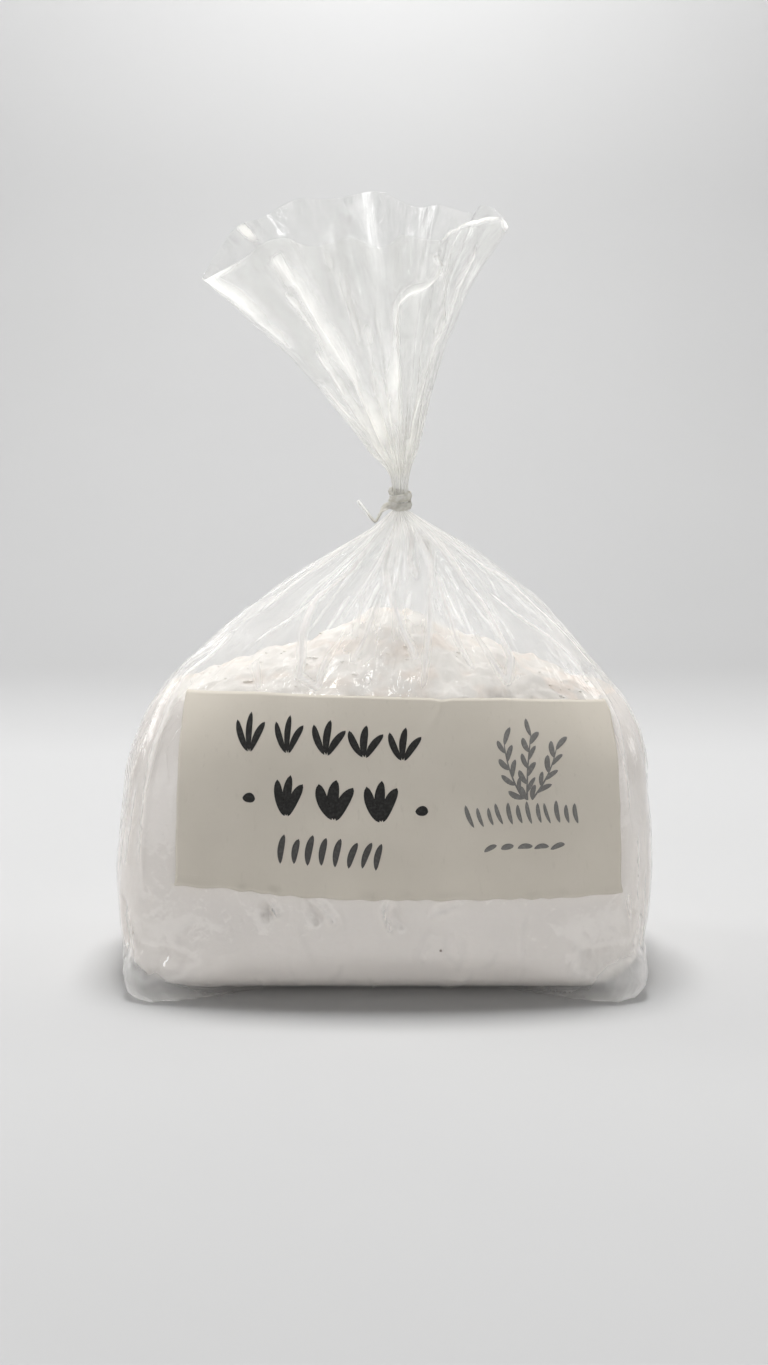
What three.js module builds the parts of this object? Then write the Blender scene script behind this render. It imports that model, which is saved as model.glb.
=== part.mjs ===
// A 500 g bag of rice flour: a clear film bag standing on its filled body, drawn in at a neck
// by a twist tie, with the open end of the film flaring above it, and a paper label on the front.
// Millimetres, +Z up, front towards -Y. The bag and what it holds are one solid.
import * as THREE from 'three';

const { smoothstep, degToRad } = THREE.MathUtils;

// ---- Filled body and tent of loose film ----------------------------------------------------
const RING_POINTS = 72;          // meridians of the film, counted round the bag from the front
const BODY_HALF_WIDTH = 72.2;    // at the belly, the widest place
const BODY_HALF_DEPTH = 43;
const SHOULDER_HEIGHT = 76;      // where the flour ends and the loose film begins
const NECK_X = 4;                // the neck stands a little to the right of the middle
const NECK_RADIUS = 2.1;         // the bundle of film inside the tie
const TIE_LOW = 122.8;
const TIE_HIGH = 129.2;

// Cross-sections from the floor to the tie: height, half width and half depth as fractions of
// the belly's, squareness (2 is an ellipse, more is boxier) and sideways shift of the middle.
const STATIONS = [
  { name: 'sole', z: 0, width: 0.87, depth: 0.86, power: 3.6, shift: -0.8 },
  { name: 'foot', z: 3, width: 0.93, depth: 0.95, power: 3.5, shift: -0.9 },
  { name: 'heel', z: 8, width: 0.97, depth: 0.985, power: 3.3, shift: -0.9 },
  { name: 'belly', z: 22, width: 1, depth: 1, power: 3.1, shift: -0.4 },
  { name: 'waist', z: 44, width: 0.978, depth: 0.975, power: 2.9, shift: 0.2 },
  { name: 'chest', z: 62, width: 0.938, depth: 0.905, power: 2.7, shift: 0.8 },
  { name: 'shoulder', z: SHOULDER_HEIGHT, width: 0.835, depth: 0.79, power: 2.5, shift: 0.6 },
  { name: 'eaves', z: 86, width: 0.71, depth: 0.665, power: 2.35, shift: 2.2 },
  { name: 'tent', z: 98, width: 0.52, depth: 0.47, power: 2.2, shift: 4.0 },
  { name: 'gather', z: 110, width: 0.287, depth: 0.27, power: 2.05, shift: 5.4 },
  { name: 'collar', z: 118, width: 0.115, depth: 0.15, power: 2, shift: 5.2 },
  { name: 'throat', z: TIE_LOW, width: NECK_RADIUS / BODY_HALF_WIDTH,
    depth: NECK_RADIUS / BODY_HALF_DEPTH, power: 2, shift: NECK_X },
];
const RING_STEP = 6.5;           // largest height between two rings of the body
const TENT_PLEATS = 13;
const TENT_PLEAT_DEPTH = 1.7;

// ---- Empty film corners folded at the foot of the bag ----------------------------------------
const EAR_REACH = 3.5;
const EAR_TOP = 15;              // height at which the ears have died out
const EAR_SPREAD = 0.2;          // half angle of each ear, radians
const EAR_CORNER = new THREE.Vector2(62, 35);

// ---- Flared mouth above the tie ---------------------------------------------------------------
const FLARE_LENGTH = 83;         // film from the tie to the rim
const FLARE_CUT = 0.06;          // share by which the film is shorter at the right than the left
const FLARE_WALL = 1.4;
const FLARE_LEAN = -11;          // degrees, towards -X
const FLARE_SPREAD_X = 23;       // degrees each side of the lean
const FLARE_SPREAD_Y = 22;
const FLARE_OPENING_RUN = 11;    // film length over which the bundle opens into the fan
const FLARE_RINGS = 13;
const FLARE_RING_BIAS = 1.15;    // above 1, rings lie closer together near the tie
const FLARE_FLOOR = 27;          // film length at which the hollow inside the fan starts
const RUFFLES = 7;
const RUFFLE_START = 0.775;      // turn of the ruffle that makes the tip at the left
const RUFFLE_DEPTH = 0.28;       // share of the spread, at the rim
const NECK_PLEATS = 17;
const NECK_PLEAT_DEPTH = 0.9;

// ---- Paper label ------------------------------------------------------------------------------
const LABEL_WIDTH = 116;
const LABEL_LOW = 27.5;
const LABEL_HIGH = 77;
const LABEL_CENTRE_X = 4;
const LABEL_THICKNESS = 0.45;
const LABEL_GAP = 0.4;
const LABEL_COLUMNS = 26;
const LABEL_ROWS = 9;

// ---- Twist tie ----------------------------------------------------------------------------------
const TIE_STRIP_HEIGHT = 2;
const TIE_STRIP_THICKNESS = 0.8;
const TIE_TURNS = 1.9;
const TIE_PITCH = 2.35;
const TIE_GAP = 0.35;
const TIE_END_ANGLE = -0.15;     // radians round the neck from the front, where the tail leaves
const TIE_STEPS_PER_TURN = 20;
const TIE_TAIL_STEPS = 14;
// The tail hangs down left of the neck and turns up again, given from the neck's axis at its foot.
const TIE_TAIL = [
  [-3, -3.4, 1.6], [-4.9, -4, 0.2], [-6.5, -4.5, -2.5], [-8, -4.9, -1.2], [-11.2, -5.2, 3],
];

/** Interpolates the stations smoothly in height; evaluate(z) gives width, depth, power, shift. */
const stationCurve = new THREE.CubicInterpolant(
  STATIONS.map((s) => s.z),
  STATIONS.flatMap((s) => [s.width * BODY_HALF_WIDTH, s.depth * BODY_HALF_DEPTH, s.power, s.shift]),
  4,
);

/** The outline of the bag at one height: a closed superellipse that starts at the front. */
class Section extends THREE.Curve {
  constructor(z) {
    super();
    [this.halfWidth, this.halfDepth, this.power, this.shift] = stationCurve.evaluate(z);
    this.z = z;
  }

  getPoint(t, target = new THREE.Vector3()) {
    const angle = 2 * Math.PI * t;
    const x = Math.sin(angle);
    const y = -Math.cos(angle);
    const across = (Math.abs(x) / this.halfWidth) ** this.power;
    const deep = (Math.abs(y) / this.halfDepth) ** this.power;
    const radius = (across + deep) ** (-1 / this.power);
    return target.set(x * radius + this.shift, y * radius, this.z);
  }
}

/** Pushes the points of a ring out along its normals, each by offset(point, turn). */
function displaceRing(points, offset) {
  const count = points.length;
  return points.map((point, i) => {
    const before = points[(i + count - 1) % count];
    const after = points[(i + 1) % count];
    const outward = new THREE.Vector3(after.y - before.y, before.x - after.x, 0).normalize();
    return point.clone().addScaledVector(outward, offset(point, i / count));
  });
}

/** A wave of uneven pleats round the bag, from -1 to 1; turn is 0 at the front. */
function pleatWave(turn, pleats) {
  const wander = 0.11 * Math.sin(4 * Math.PI * turn + 0.6) + 0.07 * Math.sin(6 * Math.PI * turn);
  const main = Math.cos(2 * Math.PI * (pleats * turn + wander * pleats / 4));
  const minor = Math.cos(2 * Math.PI * ((pleats - 4) * turn) + 1.3);
  return 0.7 * main + 0.3 * minor;
}

/** The ruffles of the open mouth, from -1 to 1, with a crest at the left tip. */
function ruffleWave(turn) {
  const from = turn - RUFFLE_START;
  return Math.cos(2 * Math.PI * RUFFLES * from + 0.7 * Math.sin(4 * Math.PI * from));
}

/** How far an empty film corner stands out of the body at a point of a ring. */
function earReach(point) {
  const fade = 1 - smoothstep(point.z, 0.4 * EAR_TOP, EAR_TOP);
  const corner = Math.atan2(EAR_CORNER.y, EAR_CORNER.x);
  const angle = Math.atan2(Math.abs(point.y), Math.abs(point.x));
  return EAR_REACH * fade * Math.exp(-(((angle - corner) / EAR_SPREAD) ** 2));
}

/** One ring of the filled body or of the tent of film above it. */
function bodyRing(z) {
  const ring = new Section(z).getSpacedPoints(RING_POINTS).slice(0, RING_POINTS);
  const tent = smoothstep(z, SHOULDER_HEIGHT + 3, SHOULDER_HEIGHT + 20);
  const gathered = 1 - smoothstep(z, TIE_LOW - 14, TIE_LOW);
  const pleatDepth = TENT_PLEAT_DEPTH * tent * gathered;
  return displaceRing(ring, (point, turn) => pleatDepth * pleatWave(turn, TENT_PLEATS) + earReach(point));
}

/** Ring heights from the floor to the throat, with every station among them. */
function bodyHeights() {
  const heights = [0];
  for (let i = 1; i < STATIONS.length; i++) {
    const low = STATIONS[i - 1].z;
    const rise = STATIONS[i].z - low;
    const steps = Math.ceil(rise / RING_STEP);
    for (let k = 1; k <= steps; k++) heights.push(low + (rise * k) / steps);
  }
  return heights;
}

/** A plain ring of the bundle inside the tie. */
function neckRing(z) {
  return Array.from({ length: RING_POINTS }, (_, i) => {
    const angle = (2 * Math.PI * i) / RING_POINTS;
    return new THREE.Vector3(NECK_X + NECK_RADIUS * Math.sin(angle), -NECK_RADIUS * Math.cos(angle), z);
  });
}

/** A point of the flared film: turn round it from the front, and film length from the tie. */
function flarePoint(turn, length) {
  const angle = 2 * Math.PI * turn;
  const share = length / FLARE_LENGTH;
  const opening = smoothstep(length, -2, FLARE_OPENING_RUN);
  const ruffle = 1 + RUFFLE_DEPTH * share ** 1.4 * ruffleWave(turn);
  const tiltX = degToRad(FLARE_LEAN + FLARE_SPREAD_X * ruffle * Math.sin(angle)) * opening;
  const tiltY = degToRad(-FLARE_SPREAD_Y * ruffle * Math.cos(angle)) * opening;
  const tilt = Math.hypot(tiltX, tiltY) || 1e-9;
  const pleat = NECK_PLEAT_DEPTH * opening * (1 - share) ** 2 * pleatWave(turn, NECK_PLEATS);
  const bundle = NECK_RADIUS + pleat;
  return new THREE.Vector3(
    NECK_X + bundle * Math.sin(angle) + (length * Math.sin(tilt) * tiltX) / tilt,
    -bundle * Math.cos(angle) + (length * Math.sin(tilt) * tiltY) / tilt,
    TIE_HIGH + length * Math.cos(tilt),
  );
}

/** The same point on the inner face of the flare, one wall further in. */
function flareInnerPoint(turn, length) {
  const step = 0.2;
  const along = flarePoint(turn, length + step).sub(flarePoint(turn, length - step));
  const round = flarePoint(turn + step / 60, length).sub(flarePoint(turn - step / 60, length));
  const outward = round.cross(along).normalize();
  return flarePoint(turn, length).addScaledVector(outward, -FLARE_WALL);
}

/** One ring of the flare, its film a little shorter towards the right. */
function flareRing(length, pointAt) {
  return Array.from({ length: RING_POINTS }, (_, i) => {
    const turn = i / RING_POINTS;
    const cut = 1 - (FLARE_CUT / 2) * (1 + Math.sin(2 * Math.PI * turn));
    return pointAt(turn, length * cut);
  });
}

/** The mean of a ring's points. */
function middle(ring) {
  return ring.reduce((sum, point) => sum.add(point), new THREE.Vector3()).divideScalar(ring.length);
}

/** Joins closed rings of equal size into one closed body, with a fan over each end. */
function loft(rings) {
  const size = rings[0].length;
  const lastRing = (rings.length - 1) * size;
  const vertices = rings.flat();
  const bottom = vertices.push(middle(rings[0])) - 1;
  const top = vertices.push(middle(rings[rings.length - 1])) - 1;
  const index = [];
  for (let i = 0; i < size; i++) {
    const next = (i + 1) % size;
    index.push(bottom, next, i);
    for (let low = 0; low < lastRing; low += size) {
      const high = low + size;
      index.push(low + i, low + next, high + next);
      index.push(low + i, high + next, high + i);
    }
    index.push(top, lastRing + i, lastRing + next);
  }
  const geometry = new THREE.BufferGeometry().setFromPoints(vertices);
  geometry.setIndex(index);
  geometry.computeVertexNormals();
  return geometry;
}

/** The bag: up the outside from the floor to the rim, then down into the hollow of the flare. */
function bagGeometry() {
  const shares = Array.from({ length: FLARE_RINGS }, (_, i) => (i + 1) / FLARE_RINGS);
  const outside = shares.map((share) => FLARE_LENGTH * share ** FLARE_RING_BIAS);
  const inside = outside.filter((length) => length > FLARE_FLOOR).reverse();
  return loft([
    ...bodyHeights().map(bodyRing),
    neckRing((TIE_LOW + TIE_HIGH) / 2),
    neckRing(TIE_HIGH),
    ...outside.map((length) => flareRing(length, flarePoint)),
    ...inside.map((length) => flareRing(length, flareInnerPoint)),
  ]);
}

/** A point off the front of the body: arc length round it from the label's middle, and height. */
function frontPoint(arc, z, offset) {
  const section = new Section(z);
  const perimeter = section.getLength();
  const turn = (arc + LABEL_CENTRE_X - section.shift) / perimeter;
  const at = (turn + 1) % 1;
  const point = section.getPointAt(at);
  const tangent = section.getTangentAt(at);
  const lean = (new Section(z + 1).halfDepth - new Section(z - 1).halfDepth) / 2;
  const outward = new THREE.Vector3(tangent.y, -tangent.x, -lean).normalize();
  return point.addScaledVector(outward, offset);
}

/** The label: a flat sheet bent round the front of the body, clear of it by a small gap. */
function labelGeometry() {
  const size = [LABEL_WIDTH, LABEL_THICKNESS, LABEL_HIGH - LABEL_LOW];
  const geometry = new THREE.BoxGeometry(...size, LABEL_COLUMNS, 1, LABEL_ROWS);
  const position = geometry.attributes.position;
  for (let i = 0; i < position.count; i++) {
    const z = (LABEL_LOW + LABEL_HIGH) / 2 + position.getZ(i);
    const offset = LABEL_GAP + LABEL_THICKNESS / 2 - position.getY(i);
    const point = frontPoint(position.getX(i), z, offset);
    position.setXYZ(i, point.x, point.y, point.z);
  }
  geometry.computeVertexNormals();
  return geometry;
}

/** The tie's strip cut across its path: a flat rectangle with bevelled edges. */
function stripRing(centre, outward, across) {
  const halfHeight = TIE_STRIP_HEIGHT / 2;
  const halfThick = TIE_STRIP_THICKNESS / 2;
  const bevel = halfThick / 2;
  const corners = [
    [halfThick, halfHeight - bevel], [halfThick - bevel, halfHeight],
    [bevel - halfThick, halfHeight], [-halfThick, halfHeight - bevel],
    [-halfThick, bevel - halfHeight], [bevel - halfThick, -halfHeight],
    [halfThick - bevel, -halfHeight], [halfThick, bevel - halfHeight],
  ];
  return corners.map(([out, up]) => (
    centre.clone().addScaledVector(outward, out).addScaledVector(across, up)
  ));
}

/** The tie's turns round the neck, from the top down. */
function coilPath() {
  const radius = NECK_RADIUS + TIE_GAP + TIE_STRIP_THICKNESS / 2;
  const steps = Math.round(TIE_TURNS * TIE_STEPS_PER_TURN);
  return Array.from({ length: steps + 1 }, (_, i) => {
    const turned = (i / steps) * TIE_TURNS;
    const angle = TIE_END_ANGLE + 2 * Math.PI * (TIE_TURNS - turned);
    const z = TIE_HIGH - TIE_STRIP_HEIGHT / 2 - TIE_PITCH * turned;
    return new THREE.Vector3(NECK_X + radius * Math.sin(angle), -radius * Math.cos(angle), z);
  });
}

/** The twist tie: its turns, then its free tail, where the strip twists to stand edge on. */
function tieGeometry() {
  const coil = coilPath();
  const bends = TIE_TAIL.map(([x, y, z]) => new THREE.Vector3(NECK_X + x, y, TIE_LOW + z));
  const tail = new THREE.CatmullRomCurve3([coil[coil.length - 1], ...bends]);
  const path = [...coil, ...tail.getSpacedPoints(TIE_TAIL_STEPS).slice(1)];
  const upright = new THREE.Vector3(0, 0, 1);
  const backward = new THREE.Vector3(0, 1, 0);
  return loft(path.map((centre, i) => {
    const before = path[Math.max(i - 1, 0)];
    const after = path[Math.min(i + 1, path.length - 1)];
    const along = after.clone().sub(before).normalize();
    const twist = smoothstep(i - coil.length, 0, TIE_TAIL_STEPS / 2);
    const across = upright.clone().lerp(backward, twist).projectOnPlane(along).normalize();
    return stripRing(centre, across.clone().cross(along), across);
  }));
}

function piece(name, geometry, color, roughness) {
  const material = new THREE.MeshStandardMaterial({ color, roughness, metalness: 0 });
  const mesh = new THREE.Mesh(geometry, material);
  mesh.name = name;
  return mesh;
}

const group = new THREE.Group();
group.add(
  piece('bag', bagGeometry(), 0xf2f0ec, 0.3),
  piece('label', labelGeometry(), 0xcfc6b8, 0.85),
  piece('twist_tie', tieGeometry(), 0xe6e5df, 0.5),
);

// The origin is the middle of the base: the bounding box is centred on x and y, and starts at z = 0.
const box = new THREE.Box3().setFromObject(group);
group.position.set(-(box.min.x + box.max.x) / 2, -(box.min.y + box.max.y) / 2, -box.min.z);

export default group;
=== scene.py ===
"""Looks of a 500 g bag of rice flour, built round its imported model.

A clear film bag stands on its filled body, is drawn in at a neck by a twist tie and flares open
above it. The flour shows through the film, and a paper label is bent round the front.
The form is worked out in millimetres and made in metres.
"""

import logging
import math
from dataclasses import dataclass, field
from enum import Enum
from typing import Any

import bpy
import numpy as np
from mathutils import Euler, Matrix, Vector, noise
from mathutils.bvhtree import BVHTree


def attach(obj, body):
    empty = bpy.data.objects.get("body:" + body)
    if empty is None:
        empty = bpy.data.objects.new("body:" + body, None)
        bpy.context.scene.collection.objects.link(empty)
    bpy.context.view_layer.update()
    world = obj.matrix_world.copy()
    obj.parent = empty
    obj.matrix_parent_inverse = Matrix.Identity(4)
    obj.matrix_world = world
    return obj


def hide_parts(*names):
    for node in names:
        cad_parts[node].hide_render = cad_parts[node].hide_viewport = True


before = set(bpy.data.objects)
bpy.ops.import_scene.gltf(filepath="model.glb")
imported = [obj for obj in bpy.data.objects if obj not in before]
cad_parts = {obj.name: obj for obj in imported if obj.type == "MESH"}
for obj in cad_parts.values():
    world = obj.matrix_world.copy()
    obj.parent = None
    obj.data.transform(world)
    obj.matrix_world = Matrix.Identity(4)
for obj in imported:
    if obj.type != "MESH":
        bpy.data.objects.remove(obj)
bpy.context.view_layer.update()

LOG = logging.getLogger("flour_bag")
MM = 0.001
BODY = "root"
Grid = np.ndarray  # rows of points round the bag, (rows, columns, 3), in millimetres
Field = np.ndarray  # one number for each point of a grid
Pair = tuple[float, float]
Triple = tuple[float, float, float]
Piece = bpy.types.Object
Material = bpy.types.Material


# ---- Small mathematics ----
def smoothstep(value: Field | float, low: float, high: float) -> Field:
    """Rises smoothly from 0 at low to 1 at high."""
    share = np.clip((value - low) / (high - low), 0.0, 1.0)
    return share * share * (3.0 - 2.0 * share)


def turn_gap(turn: Field, centre: Field | float) -> Field:
    """Signed distance round the bag from centre to turn, in turns from -0.5 to 0.5."""
    return (turn - centre + 0.5) % 1.0 - 0.5


def noise_field(points: Grid, size: float, octaves: int = 3, seed: int = 0) -> Field:
    """Smooth noise of about -1 to 1 at each point.

    Args:
        points: Places, in millimetres.
        size: Width of the largest lumps, in millimetres.
        octaves: How many ever finer layers are added.
        seed: Picks another part of the noise.
    Returns:
        One value for each point.
    """
    flat = points.reshape(-1, 3) / size + 17.3 * seed
    values = [noise.fractal(Vector(place), 1.0, 2.0, octaves) for place in flat]
    return np.array(values).reshape(points.shape[:-1])


def lump_field(points: Grid, size: float, seed: int = 0) -> Field:
    """Round lumps packed side by side: 1 at the middle of each and about 0 between them.

    Args:
        points: Places, in millimetres.
        size: Distance between lumps.
        seed: Picks another part of the pattern.
    Returns:
        One value for each point.
    """
    flat = points.reshape(-1, 3) / size + 31.7 * seed
    nearest = [noise.voronoi(Vector(place))[0][0] for place in flat]
    return np.clip(1.0 - np.array(nearest), 0.0, 1.0).reshape(points.shape[:-1])


def outward_normals(grid: Grid) -> Grid:
    """Unit normals of a grid of rings that runs upwards and counts round from the front to the right.

    Args:
        grid: The rings.
    Returns:
        A unit vector for each point.
    """
    around = np.roll(grid, -1, axis=1) - np.roll(grid, 1, axis=1)
    along = np.gradient(grid, axis=0)
    normal = np.cross(around, along)
    return normal / np.maximum(np.linalg.norm(normal, axis=2, keepdims=True), 1e-9)


def ease_between(values: np.ndarray, index: np.ndarray, share: np.ndarray, leave: np.ndarray,
                 arrive: np.ndarray) -> np.ndarray:
    """Smooth curve between neighbouring rows of values.

    Args:
        values: The rows.
        index: Row that each result starts from.
        share: How far each result is on its way to the next row.
        leave: Slope at the start, over the whole step.
        arrive: Slope at the end, over the whole step.
    Returns:
        One row for each index.
    """
    start, end = values[index], values[index + 1]
    square, cube = share**2, share**3
    return ((2 * cube - 3 * square + 1) * start + (cube - 2 * square + share) * leave
            + (3 * square - 2 * cube) * end + (cube - square) * arrive)


# ---- Meshes ----
def link_mesh(name: str, vertices: np.ndarray, faces: list[tuple[int, ...]]) -> Piece:
    """Makes a smooth-shaded mesh object at the origin.

    Args:
        name: Name of the object and its mesh.
        vertices: Points in millimetres.
        faces: Corners of each face, counted so that it points outwards.
    Returns:
        The linked object.
    """
    mesh = bpy.data.meshes.new(name)
    mesh.from_pydata((np.asarray(vertices) * MM).tolist(), [], faces)
    mesh.polygons.foreach_set("use_smooth", np.ones(len(mesh.polygons), dtype=bool))
    mesh.validate()
    made = bpy.data.objects.new(name, mesh)
    bpy.context.scene.collection.objects.link(made)
    return made


def loft(name: str, grid: Grid) -> Piece:
    """Joins closed rings, from the lowest up, into one closed body with a fan over each end.

    Args:
        name: Name of the piece.
        grid: The rings.
    Returns:
        The linked object.
    """
    rows, columns, _ = grid.shape
    vertices = np.vstack([grid.reshape(-1, 3), grid[0].mean(axis=0), grid[-1].mean(axis=0)])
    foot, head = rows * columns, rows * columns + 1
    here = np.arange(columns)
    beyond = (here + 1) % columns
    low = (np.arange(rows - 1) * columns)[:, None]
    quads = np.stack([low + here, low + beyond, low + columns + beyond, low + columns + here], axis=2)
    faces = [tuple(face) for face in quads.reshape(-1, 4).tolist()]
    faces += [(foot, int(b), int(a)) for a, b in zip(here, beyond)]
    last = (rows - 1) * columns
    faces += [(head, int(last + a), int(last + b)) for a, b in zip(here, beyond)]
    return link_mesh(name, vertices, faces)


def store_field(piece: Piece, name: str, values: np.ndarray) -> None:
    """Keeps a number or a vector at each vertex for the materials; missing ends repeat the last one.

    Args:
        piece: The mesh object.
        name: Name of the field.
        values: Values, in the order of the vertices.
    """
    mesh = piece.data
    vector = values.shape[-1] == 3 and values.ndim > 2
    flat = values.reshape(-1, 3) if vector else values.reshape(-1)
    short = len(mesh.vertices) - len(flat)
    flat = np.concatenate([flat, np.repeat(flat[-1:], short, axis=0)])
    layer = mesh.attributes.new(name, "FLOAT_VECTOR" if vector else "FLOAT", "POINT")
    layer.data.foreach_set("vector" if vector else "value", flat.astype(np.float32).ravel())


def dress(piece: Piece, material: Material, slot: str, *nodes: str) -> None:
    """Gives a piece its material and its body, and hides the imported nodes that it stands for.

    Args:
        piece: The mesh object.
        material: Its finish.
        slot: Not used.
        *nodes: The nodes that it replaces.
    """
    piece.data.materials.clear()
    piece.data.materials.append(material)
    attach(piece, BODY)
    if nodes:
        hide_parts(*nodes)
    LOG.info("%s: %d faces, %s", piece.name, len(piece.data.polygons), material.name)


# ---- Node trees ----
Tree = bpy.types.NodeTree
Node = bpy.types.Node
Socket = bpy.types.NodeSocket


def add_node(tree: Tree, kind: str, inputs: dict[Any, Any] | None = None, **settings: Any) -> Node:
    """Adds a node, sets its settings, and sets or links its inputs.

    Args:
        tree: The tree that gets the node.
        kind: Blender's name of the node type.
        inputs: Value or output socket for each input, by its name or number.
        **settings: Properties of the node.
    Returns:
        The new node.
    """
    node = tree.nodes.new(kind)
    for name, value in settings.items():
        setattr(node, name, value)
    for key, value in (inputs or {}).items():
        if isinstance(value, bpy.types.NodeSocket):
            tree.links.new(value, node.inputs[key])
        else:
            node.inputs[key].default_value = value
    return node


def maths(tree: Tree, operation: str, *values: Any, clamp: bool = False) -> Socket:
    """The result of one Math node over sockets or numbers."""
    node = add_node(tree, "ShaderNodeMath", dict(enumerate(values)), operation=operation, use_clamp=clamp)
    return node.outputs[0]


def remap(tree: Tree, value: Socket, source: Pair, target: Pair) -> Socket:
    """Maps a value from one range to another, and clamps it there.

    Args:
        tree: The tree that gets the node.
        value: The value.
        source: Range of the value.
        target: Range of the result.
    Returns:
        The result.
    """
    inputs = {"Value": value, "From Min": source[0], "From Max": source[1],
              "To Min": target[0], "To Max": target[1]}
    return add_node(tree, "ShaderNodeMapRange", inputs).outputs["Result"]


def blend_colour(tree: Tree, share: Socket | float, first: Any, second: Any) -> Socket:
    """Mixes two colours by a share from 0 to 1.

    Args:
        tree: The tree that gets the node.
        share: Share of the second colour.
        first: A colour or its socket.
        second: A colour or its socket.
    Returns:
        The mixed colour.
    """
    node = add_node(tree, "ShaderNodeMix", data_type="RGBA")
    for socket, value in zip((node.inputs[0], node.inputs[6], node.inputs[7]), (share, first, second)):
        if isinstance(value, bpy.types.NodeSocket):
            tree.links.new(value, socket)
        else:
            socket.default_value = value
    return node.outputs[2]


def noise_node(tree: Tree, place: Socket, per_metre: float, detail: float = 3.0,
               stretch: Triple = (1, 1, 1)) -> Socket:
    """A noise texture's value over a place, optionally stretched along its axes.

    Args:
        tree: The tree that gets the node.
        place: Where the noise is read.
        per_metre: Lumps in a metre.
        detail: How many finer layers it has.
        stretch: Scale along each axis.
    Returns:
        The value, mostly 0.3 to 0.7.
    """
    mapped = add_node(tree, "ShaderNodeMapping", {"Vector": place, "Scale": stretch}).outputs[0]
    inputs = {"Vector": mapped, "Scale": per_metre, "Detail": detail}
    return add_node(tree, "ShaderNodeTexNoise", inputs).outputs[0]


def random_node(tree: Tree, low: Any, high: Any, seed: Any) -> Socket:
    """A random number, or vector where the ends are vectors, for each instance.

    Args:
        tree: The tree that gets the node.
        low: Lower end of the range, a number, a vector or a number's socket.
        high: Upper end of the range, like the lower one.
        seed: Number or socket that picks the draw.
    Returns:
        The value.
    """
    if isinstance(low, tuple):
        return add_node(tree, "FunctionNodeRandomValue", {0: low, 1: high, "Seed": seed},
                        data_type="FLOAT_VECTOR").outputs[0]
    return add_node(tree, "FunctionNodeRandomValue", {2: low, 3: high, "Seed": seed},
                    data_type="FLOAT").outputs[1]


def new_material(name: str) -> tuple[Material, Tree, Node]:
    """An empty node material, its tree and its output node.

    Args:
        name: Name of the material.
    Returns:
        The material, its tree and its output node.
    """
    material = bpy.data.materials.new(name)
    material.use_nodes = True
    material.node_tree.nodes.clear()
    output = material.node_tree.nodes.new("ShaderNodeOutputMaterial")
    return material, material.node_tree, output


def object_place(tree: Tree) -> Socket:
    """The place of a point in the piece's own coordinates."""
    return add_node(tree, "ShaderNodeTexCoord").outputs["Object"]


def attribute(tree: Tree, name: str, output: str = "Fac") -> Socket:
    """A value kept at the vertices."""
    return add_node(tree, "ShaderNodeAttribute", attribute_name=name).outputs[output]


def bump(tree: Tree, height: Socket, strength: float, depth_mm: float, under: Socket | None = None) -> Socket:
    """A bump of a real depth, on top of another where one is given.

    Args:
        tree: The tree that gets the node.
        height: Height, from 0 to 1.
        strength: Strength, from 0 to 1.
        depth_mm: Depth in millimetres.
        under: The other bump.
    Returns:
        The bent normal.
    """
    inputs = {"Height": height, "Strength": strength, "Distance": depth_mm * MM}
    if under is not None:
        inputs["Normal"] = under
    return add_node(tree, "ShaderNodeBump", inputs).outputs[0]


def mix_shader(tree: Tree, share: Socket | float, first: Node, second: Node) -> Node:
    """Mixes two shaders by a share from 0 to 1."""
    return add_node(tree, "ShaderNodeMixShader", {0: share, 1: first.outputs[0], 2: second.outputs[0]})


def plain_surface(tree: Tree, output: Node, inputs: dict[str, Any]) -> None:
    """Ends a tree with a Principled shader of the given inputs."""
    shader = add_node(tree, "ShaderNodeBsdfPrincipled", inputs)
    tree.links.new(shader.outputs[0], output.inputs["Surface"])


# ---- Finishes ----
Colour = tuple[float, float, float, float]


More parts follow.
